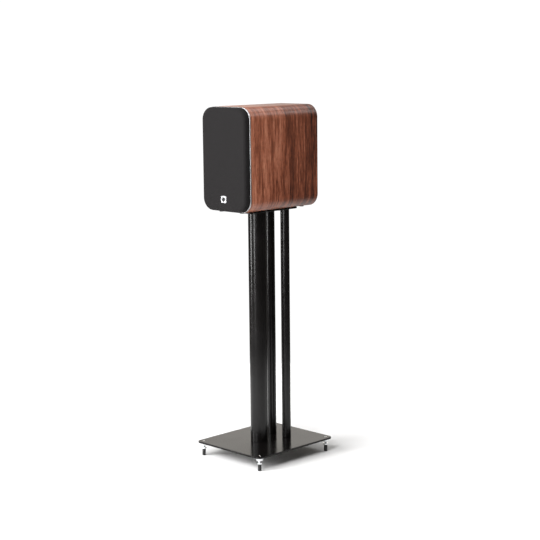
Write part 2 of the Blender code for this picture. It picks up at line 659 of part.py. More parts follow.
def make_feet():
    """Levelling spikes with rubber boots; one lock nut under the plate on each spike."""
    collar_top = 23.5 * MM
    collar_under = 19.2 * MM
    shank = 3.9 * MM
    spike_profile = [
        (0, 3.5 * MM), (0.5 * MM, 3.5 * MM), (3.4 * MM, collar_under), (7.6 * MM, collar_under),
        (7.6 * MM, collar_top), (shank, collar_top), (shank, BASE_TOP), (0, BASE_TOP),
    ]
    boot_top = collar_under - GAP
    boot_profile = [
        (0, 0), (4.5 * MM, 0), (4.9 * MM, 0.6 * MM), (4.8 * MM, boot_top), (3.9 * MM, boot_top),
        (1.0 * MM, 3.1 * MM), (0, 3.0 * MM),
    ]
    for corner, place in FEET.items():
        spike = turned(f"spike_{corner}", spike_profile, Z_AXIS, "chrome", place, 16)
        drill(spike, f"hex_socket_{corner}", 2.3 * MM, BASE_TOP - 3 * MM, BASE_TOP + 1 * MM,
              Z_AXIS, [place], 6)
        turned(f"rubber_boot_{corner}", boot_profile, Z_AXIS, "rubber", place, 16)
    nut_top = BASE_UNDER - GAP
    nut_under = 29.0 * MM
    nut = [
        (4.3 * MM, nut_under), (9.0 * MM, nut_under), (9.5 * MM, nut_under + 0.6 * MM),
        (9.5 * MM, nut_top), (4.3 * MM, nut_top),
    ]
    for corner, place in FEET.items():
        turned(f"spike_lock_nut_{corner}", nut, Z_AXIS, "chrome", place, 16)


def main():
    clear_scene()
    make_cabinet()
    make_grille()
    make_woofer()
    make_tweeter()
    make_rear()
    make_crossover()
    make_leads()
    make_wadding()
    make_rubber_feet()
    make_stand()
    make_feet()


main()
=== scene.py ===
"""Two-way bookshelf speaker on its three-column floor stand: finished surfaces over the CAD frame.

World frame in metres, +Z up, grille towards -Y. A new piece is one or more grids of points worked
out as whole numpy arrays from an eased profile in millimetres, then welded into one mesh.
"""

import math

import bmesh
import bpy
import numpy as np
from mathutils import Matrix, Vector
from mathutils.geometry import delaunay_2d_cdt


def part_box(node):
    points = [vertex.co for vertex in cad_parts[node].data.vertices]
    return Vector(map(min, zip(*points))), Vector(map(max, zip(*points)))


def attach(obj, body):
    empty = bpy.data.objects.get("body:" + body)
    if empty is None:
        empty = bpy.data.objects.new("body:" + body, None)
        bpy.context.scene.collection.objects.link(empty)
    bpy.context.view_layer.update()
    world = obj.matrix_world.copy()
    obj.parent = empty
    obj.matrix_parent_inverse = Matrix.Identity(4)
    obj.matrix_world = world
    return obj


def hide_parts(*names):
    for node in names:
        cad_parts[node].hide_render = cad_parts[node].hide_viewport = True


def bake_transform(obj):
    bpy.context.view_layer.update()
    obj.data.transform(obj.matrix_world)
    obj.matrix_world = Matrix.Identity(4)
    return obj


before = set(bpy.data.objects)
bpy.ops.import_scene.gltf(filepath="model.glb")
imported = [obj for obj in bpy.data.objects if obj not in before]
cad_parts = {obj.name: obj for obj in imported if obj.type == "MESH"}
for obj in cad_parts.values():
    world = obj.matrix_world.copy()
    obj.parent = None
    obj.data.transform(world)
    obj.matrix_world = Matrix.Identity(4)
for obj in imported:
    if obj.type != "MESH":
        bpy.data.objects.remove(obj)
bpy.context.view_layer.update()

MM = 0.001
WELD = 2e-6                       # points closer than this are one point
ROOT = "speaker_and_stand"
WOOFER_BODY = "woofer_moving_parts"
TWEETER_BODY = "tweeter_moving_parts"


# ------------------------------------------------------------------ places taken from the frame

def middle(node):
    low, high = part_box(node)
    return np.array((low + high) / 2)


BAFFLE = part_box("trim_ring")[0].y
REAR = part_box("cabinet_shell")[1].y
CABINET_LOW, CABINET_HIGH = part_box("cabinet_shell")
CABINET_MIDDLE = middle("cabinet_shell")
CABINET_SIZE = (
    (CABINET_HIGH.x - CABINET_LOW.x) / MM, (CABINET_HIGH.z - CABINET_LOW.z) / MM, 35.0
)
GRILLE_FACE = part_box("grille_cloth")[0].y
WOOFER = np.array([0.0, BAFFLE, middle("woofer_basket")[2]])
TWEETER = np.array([0.0, BAFFLE, middle("tweeter_faceplate")[2]])
PORT = np.array([0.0, REAR, middle("port_tube")[2]])
CUP = np.array([0.0, REAR, middle("terminal_cup")[2]])
CUP_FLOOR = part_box("terminal_washer_red")[0].y - 0.3 * MM
BASE_LOW, BASE_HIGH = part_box("stand_base_plate")
TOP_LOW, TOP_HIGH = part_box("stand_top_plate")
CORNERS = ("front_left", "front_right", "rear_left", "rear_right")
MAGNETS = [(side * 73.5, rise * 85.0) for side in (-1, 1) for rise in (-1, 1)]
CABINET_BOLTS = [(x, y) for x in (-0.040, 0.040) for y in (-0.080, 0.022)]
POST_PITCH, SPIKE_PITCH = 1.0, 1.25        # millimetres a turn
COLUMN_BOLT = 3.4                          # radius of the holes that column bolts pass, in mm
COLUMNS = ("stand_front_column", "stand_rear_column_left", "stand_rear_column_right")


# ------------------------------------------------------------------ shapes

def eased(profile, ease, steps=5):
    """Profile with every corner p replaced by the parabola (1-s)^2 a + 2 s (1-s) p + s^2 b.

    Its ends a and b lie one ease along each edge and never past 38 % of the edge. One more point
    a quarter further out keeps the flat beside each corner flat. An open profile keeps its ends.
    """
    p = np.array(profile, float)
    closed = bool(np.allclose(p[0], p[-1]))
    if closed:
        p = p[:-1]
    ways = [np.roll(p, 1, 0) - p, np.roll(p, -1, 0) - p]
    reach = np.broadcast_to(np.asarray(ease, float), (len(p),)).copy()
    if not closed:
        reach[[0, -1]] = 0
    arms = []
    for way in ways:
        long = np.linalg.norm(way, axis=1)
        share = np.minimum(reach, 0.38 * long) / np.maximum(long, 1e-9)
        arms.append(way * share[:, None])
    s = np.linspace(0, 1, steps)[None, :, None]
    a, b = arms[0][:, None], arms[1][:, None]
    bend = p[:, None] + (1 - s) ** 2 * a + s ** 2 * b
    bend = np.concatenate([p[:, None] + 1.25 * a, bend, p[:, None] + 1.25 * b], axis=1)
    path = bend.reshape(-1, 2)
    if closed:
        path = np.vstack([path, path[:1]])
    keep = np.r_[True, np.linalg.norm(np.diff(path, axis=0), axis=1) > 1e-6]
    return path[keep]


def dense(path, step):
    """Path with extra points put in by length, so that no stretch is longer than a step."""
    run = np.r_[0, np.cumsum(np.linalg.norm(np.diff(path, axis=0), axis=1))]
    stops = np.union1d(run, np.arange(0, run[-1], step))
    return np.stack([np.interp(stops, run, path[:, 0]), np.interp(stops, run, path[:, 1])], 1)


def stand_up(across, up, along, axis):
    """Points from two coordinates of a section and one along the axis."""
    order = {"X": (along, across, up), "Y": (across, along, up), "Z": (across, up, along)}
    return np.stack(np.broadcast_arrays(*order[axis]), -1)


def grid_patch(points, uv=None):
    """Quads between the neighbours of a grid of points."""
    rows, columns = points.shape[:2]
    index = np.arange(rows * columns).reshape(rows, columns)
    quads = np.stack([index[:-1, :-1], index[1:, :-1], index[1:, 1:], index[:-1, 1:]], -1)
    flat = np.zeros((rows * columns, 2)) if uv is None else uv.reshape(-1, 2)
    return points.reshape(-1, 3), quads.reshape(-1, 4), flat


def turned_patch(path, centre, axis, segments=96, relief=None):
    """Surface of revolution: (radius cos t, radius sin t, along) about an axis, in millimetres.

    relief(t, along, radius) adds to the radius, for knurls, threads, sockets and ribs.
    """
    t = np.linspace(0, 2 * np.pi, segments + 1)[None, :]
    radius, along = path[:, 0, None], path[:, 1, None]
    if relief is not None:
        radius = radius + relief(t, along, radius)
    run = np.r_[0, np.cumsum(np.linalg.norm(np.diff(path, axis=0), axis=1))][:, None]
    uv = np.stack(np.broadcast_arrays(t * path[:, 0].max(), run), -1) * MM
    along = along + 0 * t
    points = stand_up(radius * np.cos(t), radius * np.sin(t), along, axis) * MM + centre
    return grid_patch(points, uv)


def rounded_rectangle(size, insets, steps=16):
    """Outlines of a rectangle with quarter-circle corners, each shrunk by an inset.

    Point = corner sign x (half size - inset - r) + r (cos a, sin a), where the corner radius r
    shrinks with the inset. It starts and ends in the middle of the underside.
    """
    half = np.array(size[:2]) / 2
    turn = np.radians(np.linspace(0, 90, steps + 1) + np.array([-90, 0, 90, 180])[:, None])
    normal = np.stack([np.cos(turn), np.sin(turn)], -1).reshape(-1, 2)
    sign = np.repeat(np.array([[1, -1], [1, 1], [-1, 1], [-1, -1]]), steps + 1, axis=0)
    foot = np.array([[0.0, -1.0]])
    normal = np.vstack([foot, normal, foot])
    sign = np.vstack([foot, sign, foot])
    inset = np.asarray(insets, float)[:, None, None]
    bend = np.minimum(np.maximum(size[2] - inset, 1.5), half.min() - inset)
    return sign * (half - inset - bend) + bend * normal, normal


def lofted_patch(size, path, centre, axis="Y", steps=16, around=False):
    """Skin through rounded rectangles: each path point is (inset, along), in millimetres.

    The UV unrolls the skin outward from the outline; with around set it is (way round, along).
    """
    points, normal = rounded_rectangle(size, path[:, 0], steps)
    run = np.r_[0, np.cumsum(np.linalg.norm(np.diff(path, axis=0), axis=1))] - path[0, 0]
    edge = rounded_rectangle(size, [0.0], steps)[0][0]
    along = path[:, 1][:, None] + 0 * points[..., 0]
    if around:
        way = np.r_[0, np.cumsum(np.linalg.norm(np.diff(edge, axis=0), axis=1))]
        uv = np.stack([np.broadcast_to(way, along.shape), along], -1) * MM
    else:
        uv = (edge[None] + normal[None] * run[:, None, None]) * MM
    return grid_patch(stand_up(points[..., 0], points[..., 1], along, axis) * MM + centre, uv)


def circle(x, y, radius, segments=48):
    """Closed loop round a hole, with normals that point out of the material, to its axis."""
    t = np.linspace(0, 2 * np.pi, segments + 1)
    way = np.stack([np.cos(t), np.sin(t)], -1)
    return np.array([x, y]) + radius * way, -way


def inside(points, loop):
    """Even-odd rule: inside where a ray from the point crosses the loop an odd number of times."""
    a, b = loop[None], np.roll(loop, -1, 0)[None]
    x, y = points[:, 0, None], points[:, 1, None]
    spans = (a[..., 1] > y) != (b[..., 1] > y)
    rise = np.where(np.abs(b[..., 1] - a[..., 1]) < 1e-12, 1e-12, b[..., 1] - a[..., 1])
    crossing = (b[..., 0] - a[..., 0]) * (y - a[..., 1]) / rise + a[..., 0]
    return (spans & (x < crossing)).sum(1) % 2 == 1


def face_patch(loops, along, centre, axis):
    """Flat face from an outer loop to its holes: Delaunay triangles with no middle in a hole."""
    loops = [loop[:-1] for loop in loops]
    flat = np.vstack(loops)
    start = np.cumsum([0] + [len(loop) for loop in loops])
    edges = [
        (int(first + i), int(first + (i + 1) % len(loop)))
        for first, loop in zip(start, loops) for i in range(len(loop))
    ]
    found = delaunay_2d_cdt([Vector(p) for p in flat], edges, [], 0, 1e-6)
    points = np.array([p[:] for p in found[0]])
    corners = np.array([tri[:] for tri in found[2]])
    centres = points[corners].mean(1)
    keep = inside(centres, loops[0])
    for loop in loops[1:]:
        keep &= ~inside(centres, loop)
    high = np.full(len(points), along)
    placed = stand_up(points[:, 0], points[:, 1], high, axis) * MM + centre
    return placed, corners[keep], points * MM


def plate_patches(rim, holes, centre, axis):
    """Plate with holes: a wall for every loop, each (points, normals, [(inset, along), ...]),
    carried along minus its normals, and two flat faces between the walls' ends. A positive
    inset goes into the material, and a negative one reaches out of it."""
    patches = []
    ends = ([], [])
    for points, normals, profile in [rim] + holes:
        sections = points[None] - normals[None] * profile[:, 0, None, None]
        along = profile[:, 1][:, None] + 0 * sections[..., 0]
        placed = stand_up(sections[..., 0], sections[..., 1], along, axis) * MM + centre
        patches.append(grid_patch(placed, sections * MM))
        ends[0].append(sections[0])
        ends[1].append(sections[-1])
    for loops, along in zip(ends, (rim[2][0, 1], rim[2][-1, 1])):
        patches.append(face_patch(loops, along, centre, axis))
    return patches


def smooth_route(points, pieces=12):
    """Catmull-Rom curve through given points: the cubic through each pair whose slopes
    are half the step between its neighbours."""
    p = np.array(points, float)
    p = np.vstack([p[:1], p, p[-1:]])
    t = (np.arange(pieces) / pieces)[None, :, None]
    a, b, c, d = (p[i:len(p) - 3 + i][:, None] for i in range(4))
    curve = 2 * b + (c - a) * t + (2 * a - 5 * b + 4 * c - d) * t ** 2
    curve = (curve + (3 * b - a - 3 * c + d) * t ** 3) / 2
    return np.vstack([curve.reshape(-1, 3), p[-1:]])


def swept_patch(route, radius, segments=12, twist=0.0, offset=0.0):
    """Round section carried along a route: route + offset (turning by twist) + radius (N cos t +
    B sin t), where N and B are square to the route; the ends are drawn in to a point."""
    ahead = np.gradient(route, axis=0)
    ahead /= np.linalg.norm(ahead, axis=1)[:, None]
    upright = abs(ahead[:, 2]).mean() >= 0.8
    guide = np.array([1.0, 0.2, 0] if upright else [0.31, 0.17, 0.93])
    side = np.cross(ahead, guide)
    side /= np.linalg.norm(side, axis=1)[:, None]
    other = np.cross(ahead, side)
    run = np.r_[0, np.cumsum(np.linalg.norm(np.diff(route, axis=0), axis=1))]
    spin = (run / twist * 2 * np.pi if twist else np.zeros(len(run)))[:, None]
    route = route + offset * (side * np.cos(spin) + other * np.sin(spin))
    t = np.linspace(0, 2 * np.pi, segments + 1)[None, :, None]
    way = side[:, None] * np.cos(t) + other[:, None] * np.sin(t)
    tube = route[:, None] + radius * way
    tube = np.concatenate([route[:1, None] + 0 * way[:1], tube, route[-1:, None] + 0 * way[-1:]])
    around = np.broadcast_to(t[..., 0] * radius, tube.shape[:2])
    along = np.r_[run[0], run, run[-1]][:, None] + 0 * around
    return grid_patch(tube, np.stack([around, along], -1))


def add_piece(name, patches, finish, body, replaces=(), sharp=38.0, thickness=None):
    """Weld patches into one mesh with outward normals, give it a finish, and let it ride."""
    starts = np.cumsum([0] + [len(points) for points, _, _ in patches])
    points = np.vstack([points for points, _, _ in patches])
    uv = np.vstack([flat for _, _, flat in patches]).astype(np.float32)
    faces = []
    for start, (_, corners, _) in zip(starts, patches):
        faces += (corners + start).tolist()
    mesh = bpy.data.meshes.new(name)
    mesh.from_pydata(points.tolist(), [], faces)
    corner = np.empty(len(mesh.loops), np.int32)
    mesh.loops.foreach_get("vertex_index", corner)
    mesh.uv_layers.new(name="UVMap").data.foreach_set("uv", uv[corner].ravel())
    build = bmesh.new()
    build.from_mesh(mesh)
    bmesh.ops.remove_doubles(build, verts=build.verts, dist=WELD)
    bmesh.ops.dissolve_degenerate(build, edges=build.edges, dist=WELD)
    bmesh.ops.recalc_face_normals(build, faces=build.faces)
    build.to_mesh(mesh)
    build.free()
    mesh.shade_smooth()
    mesh.set_sharp_from_angle(angle=math.radians(sharp))
    material, slot = FINISHES[finish]
    mesh.materials.append(material)
    piece = bpy.data.objects.new(name, mesh)
    bpy.context.scene.collection.objects.link(piece)
    if thickness:
        wall = piece.modifiers.new("thickness", "SOLIDIFY")
        wall.thickness = thickness * MM
        wall.offset = 0.0
    if body:
        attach(piece, body)
    if replaces:
        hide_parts(*replaces)
    return piece


def turned(name, profile, centre, axis, finish, body, replaces=(), ease=0.3, segments=96,
           relief=None, step=None):
    """Turned piece from (radius, along) corners in millimetres."""
    path = eased(profile, ease)
    if step:
        path = dense(path, step)
    patch = turned_patch(path, centre, axis, segments, relief)
    return add_piece(name, [patch], finish, body, replaces)


def lofted(name, size, profile, centre, finish, body, replaces=(), ease=0.3, axis="Y", steps=16,
           around=False):
    """Piece with a rounded-rectangle section from (inset, along) corners in millimetres."""
    patch = lofted_patch(size, eased(profile, ease), centre, axis, steps, around)
    return add_piece(name, [patch], finish, body, replaces)


def sheet_profile(path, thickness):
    """Closed profile of a thin sheet: the path moved half a thickness to each side of itself."""
    p = np.array(path, float)
    run = np.gradient(p, axis=0)
    run /= np.maximum(np.linalg.norm(run, axis=1), 1e-9)[:, None]
    side = np.stack([run[:, 1], -run[:, 0]], 1) * thickness / 2
    side[p[:, 0] < 1e-6] = (0, -thickness / 2)
    return np.vstack([p + side, (p - side)[::-1]])


def turned_sheet(name, skin, thickness, centre, segments, finish, body, replaces):
    """Thin turned sheet about Y; one that doesn't start on the axis is closed on itself."""
    path = sheet_profile(skin, thickness)
    if skin[0][0] > 0:
        path = np.vstack([path, path[:1]])
    patch = turned_patch(path, centre, "Y", segments)
    return add_piece(name, [patch], finish, body, replaces)


# ------------------------------------------------------------------ finishes

def hex_colour(code):
    """Linear RGBA from an sRGB hex code: v / 12.92 up to 0.04045, ((v + 0.055) / 1.055)^2.4
    above it."""
    v = np.array([int(code[i:i + 2], 16) for i in (1, 3, 5)]) / 255
    linear = np.where(v <= 0.04045, v / 12.92, ((v + 0.055) / 1.055) ** 2.4)
    return (*linear.tolist(), 1.0)


def node(tree, kind, settings=None, links=None):
    """Add one node; settings fill its sockets or its properties, links feed its sockets."""
    made = tree.nodes.new(kind)
    for key, value in (settings or {}).items():
        if isinstance(key, int) or key in made.inputs:
            made.inputs[key].default_value = value
        else:
            setattr(made, key, value)
    for key, output in (links or {}).items():
        tree.links.new(output, made.inputs[key])
    return made


def ramp(tree, factor, stops):
    """Colour ramp with (position, hex colour) stops."""
    made = node(tree, "ShaderNodeValToRGB", links={"Fac": factor})
    band = made.color_ramp
    while len(band.elements) < len(stops):
        band.elements.new(0.5)
    for element, (position, code) in zip(band.elements, stops):
        element.position = position
        element.color = hex_colour(code)
    return made.outputs["Color"]


def new_finish(name, **constants):
    """Material whose Principled shader has these constants; returns (material, tree, shader)."""
    made = bpy.data.materials.new(name)
    made.use_nodes = True
    shader = made.node_tree.nodes["Principled BSDF"]
    for key, value in constants.items():
        shader.inputs[key.replace("_", " ")].default_value = value
    return made, made.node_tree, shader


def spread(tree, source, low, high, start=0.3, end=0.7):
    """Map a pattern's start to end onto low to high."""
    settings = {"From Min": start, "From Max": end, "To Min": low, "To Max": high}
    return node(tree, "ShaderNodeMapRange", settings, {"Value": source}).outputs["Result"]


def bump(tree, height, distance, strength=1.0, normal=None):
    """Bump whose full height is a distance in metres."""
    links = {"Height": height}
    if normal:
        links["Normal"] = normal
    settings = {"Distance": distance, "Strength": strength}
    return node(tree, "ShaderNodeBump", settings, links).outputs["Normal"]


def feed(tree, shader, **outputs):
    for key, output in outputs.items():
        tree.links.new(output, shader.inputs[key.replace("_", " ")])


def object_noise(tree, scale, detail=3.0, stretch=(1, 1, 1), roughness=0.5):
    """Noise on the object's own coordinates: scale is features a metre, before the stretch."""
    place = node(tree, "ShaderNodeTexCoord").outputs["Object"]
    fitted = node(tree, "ShaderNodeMapping", {"Scale": stretch}, {"Vector": place})
    settings = {"Scale": scale, "Detail": detail, "Roughness": roughness}
    made = node(tree, "ShaderNodeTexNoise", settings, {"Vector": fitted.outputs["Vector"]})
    return made.outputs["Fac"]


def speckled(name, dark, light, rough, scale=700.0, relief=0.00003, detail=3.0, **constants):
    """Finish whose colour, roughness and relief all vary with one fine noise."""
    made, tree, shader = new_finish(name, **constants)
    fine = object_noise(tree, scale, detail)
    broad = object_noise(tree, scale / 40, 2.0)
    feed(
        tree, shader,
        Base_Color=ramp(tree, broad, [(0.35, dark), (0.65, light)]),
        Roughness=spread(tree, fine, rough[0], rough[1]),
        Normal=bump(tree, fine, relief),
    )
    return made


def walnut_veneer():
    """Satin-lacquered walnut veneer: straight dark and light ribbons that run round the cabinet,
    with short open pores along them, and painted shade that darkens it from front to rear."""
    made, tree, shader = new_finish("lacquered_walnut_veneer_with_painted_shade", IOR=1.5)
    way = node(tree, "ShaderNodeUVMap", {"uv_map": "UVMap"}).outputs["UV"]

    def along_grain(scale, detail=3.0, rough=0.5, shift=(0, 0, 0)):
        fitted = {"Scale": scale, "Location": shift}
        place = node(tree, "ShaderNodeMapping", fitted, {"Vector": bent})
        settings = {"Scale": 1.0, "Detail": detail, "Roughness": rough}
        grain = node(tree, "ShaderNodeTexNoise", settings, {"Vector": place.outputs["Vector"]})
        return grain.outputs["Fac"]

    bent = way
    drift = along_grain((7, 16, 1), 2.0)
    shift = node(tree, "ShaderNodeMath", {"operation": "MULTIPLY", 1: 0.010}, {0: drift})
    lean = node(tree, "ShaderNodeCombineXYZ", links={"Y": shift.outputs[0]})
    added = node(tree, "ShaderNodeVectorMath", {"operation": "ADD"},
                 {0: way, 1: lean.outputs["Vector"]})
    bent = added.outputs["Vector"]
    ribbon = along_grain((2.6, 42, 1), 3.0, 0.55, (0.7, 0.2, 0))      # bands 24 mm wide
    streak = along_grain((11, 210, 1), 4.0, 0.66, (3.1, 1.7, 0))      # lines 5 mm wide
    fibre = along_grain((45, 800, 1), 3.0, 0.6, (5.0, 9.0, 0))        # fibres 1.2 mm wide
    pore = along_grain((85, 1500, 1), 1.0, 0.5, (2.0, 4.0, 0))        # pores 12 mm long
    mixed = node(tree, "ShaderNodeMath", {"operation": "MULTIPLY", 1: 0.40}, {0: streak})
    mixed = node(tree, "ShaderNodeMath", {"operation": "MULTIPLY_ADD", 1: 0.30},
                 {0: ribbon, 2: mixed.outputs[0]})
    mixed = node(tree, "ShaderNodeMath", {"operation": "MULTIPLY_ADD", 1: 0.30},
                 {0: fibre, 2: mixed.outputs[0]})
    # painted shade: the grain mix is raised by 0.045 at the front and lowered by 0.055 at the rear,
    # along the cabinet's depth
    parts = node(tree, "ShaderNodeSeparateXYZ", links={"Vector": way})
    painted_rear_shade = spread(tree, parts.outputs["Y"], 0.045, -0.055, -0.12, 0.13)
    mixed = node(tree, "ShaderNodeMath", {"operation": "ADD"},
                 {0: mixed.outputs[0], 1: painted_rear_shade}).outputs[0]
    wood = ramp(tree, mixed, [
        (0.38, "#240e08"), (0.45, "#532716"), (0.51, "#7d432c"), (0.57, "#a0624a"),
        (0.66, "#bd8266"),
    ])
    dash = spread(tree, pore, 1.0, 0.45, 0.56, 0.66)
    dark = node(tree, "ShaderNodeMix", {"data_type": "RGBA", "blend_type": "MULTIPLY", 0: 1.0},
                {6: wood, 7: dash})
    feed(
        tree, shader,
        Base_Color=dark.outputs[2],
        Roughness=spread(tree, streak, 0.34, 0.46),
        Normal=bump(tree, dash, 0.00006, 0.6, bump(tree, fibre, 0.00002, 0.5)),
    )
    return made


def grille_cloth():
    """Plain-woven black polyester over a frame: threads 1.2 mm apart, drawn twice as coarse as
    real so that they show, with a soft grey sheen where the cloth turns away."""
    made, tree, shader = new_finish(
        "woven_black_polyester", Roughness=0.9, IOR=1.45, Specular_IOR_Level=0.2,
        Sheen_Weight=0.035, Sheen_Roughness=0.45,
    )
    shader.inputs["Sheen Tint"].default_value = hex_colour("#d8d0d2")
    way = node(tree, "ShaderNodeUVMap", {"uv_map": "UVMap"}).outputs["UV"]
    parts = node(tree, "ShaderNodeSeparateXYZ", links={"Vector": way})
    waves = []
    for axis in ("X", "Y"):
        turns = node(tree, "ShaderNodeMath", {"operation": "MULTIPLY", 1: 2 * math.pi / 0.0012},
                     {0: parts.outputs[axis]})
        wave = node(tree, "ShaderNodeMath", {"operation": "SINE"}, {0: turns.outputs[0]})
        waves.append(wave.outputs[0])
    cross = node(tree, "ShaderNodeMath", {"operation": "MULTIPLY"}, {0: waves[0], 1: waves[1]})
    slub = object_noise(tree, 260.0, 3.0, (1, 1, 4))
    weave = node(tree, "ShaderNodeMath", {"operation": "MULTIPLY_ADD", 1: 0.35},
                 {0: cross.outputs[0], 2: slub}).outputs[0]
    feed(
        tree, shader,
        Base_Color=ramp(tree, weave, [(0.2, "#0b0a0a"), (0.8, "#141213")]),
        Normal=bump(tree, weave, 0.00025, 0.6),
    )
    return made


def brushed_silver():
    """Fine satin anodised aluminium: pale, with faint hairlines across."""
    made, tree, shader = new_finish("satin_anodised_aluminium", Metallic=1.0)
    hair = object_noise(tree, 90.0, 4.0, (1, 30, 30))
    feed(
        tree, shader,
        Base_Color=ramp(tree, hair, [(0.3, "#a8a8aa"), (0.7, "#bcbcbe")]),
        Roughness=spread(tree, hair, 0.36, 0.48),
        Normal=bump(tree, hair, 0.00001, 0.4),
    )
    return made


def powder_coat(name, rough, grain, index):
    """Black powder coat: a fine orange-peel skin that blurs what it mirrors."""
    made, tree, shader = new_finish(name, IOR=index)
    peel = object_noise(tree, grain, 2.0)
    patchy = object_noise(tree, 14.0, 3.0)
    feed(
        tree, shader,
        Base_Color=ramp(tree, patchy, [(0.3, "#080707"), (0.7, "#0c0a0a")]),
        Roughness=spread(tree, patchy, rough[0], rough[1]),
        Normal=bump(tree, peel, 0.000012, 0.5),
    )
    return made


def polished(name, dark, light, rough):
    """Polished or plated metal with faint handling marks."""
    made, tree, shader = new_finish(name, Metallic=1.0)
    marks = object_noise(tree, 120.0, 5.0, (1, 1, 3), 0.6)
    feed(
        tree, shader,
        Base_Color=ramp(tree, marks, [(0.35, dark), (0.65, light)]),
        Roughness=spread(tree, marks, rough[0], rough[1]),
        Normal=bump(tree, marks, 0.000004, 0.4),
    )
    return made


def enamelled_winding():
    """Copper wire laid in close turns: each turn is a rounded ridge 0.6 mm wide."""
    made, tree, shader = new_finish("enamelled_copper_winding", Metallic=1.0)
    way = node(tree, "ShaderNodeUVMap", {"uv_map": "UVMap"}).outputs["UV"]
    parts = node(tree, "ShaderNodeSeparateXYZ", links={"Vector": way})
    turns = node(tree, "ShaderNodeMath", {"operation": "MULTIPLY", 1: 2 * math.pi / 0.0006},
                 {0: parts.outputs["Y"]})
    ridge = node(tree, "ShaderNodeMath", {"operation": "SINE"}, {0: turns.outputs[0]}).outputs[0]
    crest = spread(tree, ridge, 0, 1, -1, 1)
    feed(
        tree, shader,
        Base_Color=ramp(tree, crest, [(0.0, "#6e3418"), (1.0, "#c9774a")]),
        Roughness=spread(tree, ridge, 0.42, 0.26, -1, 1),
        Normal=bump(tree, ridge, 0.00012, 0.8),
    )
    return made


def edge_painted_board():
    """Fibreboard wall: raw and felted inside, painted satin black on its rear edge."""
    made, tree, shader = new_finish("fibreboard_with_black_edge", IOR=1.45)
    fibre = object_noise(tree, 900.0, 5.0, (1, 1, 1), 0.65)
    place = node(tree, "ShaderNodeTexCoord").outputs["Object"]
    parts = node(tree, "ShaderNodeSeparateXYZ", links={"Vector": place})
    edge = spread(tree, parts.outputs["Y"], 0.0, 1.0, REAR - 26 * MM, REAR - 25 * MM)
    raw = ramp(tree, fibre, [(0.3, "#8a6a48"), (0.7, "#b08d66")])
    black = ramp(tree, fibre, [(0.3, "#121111"), (0.7, "#1b1a1a")])
    both = node(tree, "ShaderNodeMix", {"data_type": "RGBA"}, {0: edge, 6: raw, 7: black})
    feed(
        tree, shader,
        Base_Color=both.outputs[2],
        Roughness=spread(tree, edge, 0.9, 0.5, 0, 1),
        Normal=bump(tree, fibre, 0.00004, 0.6),
    )
    return made


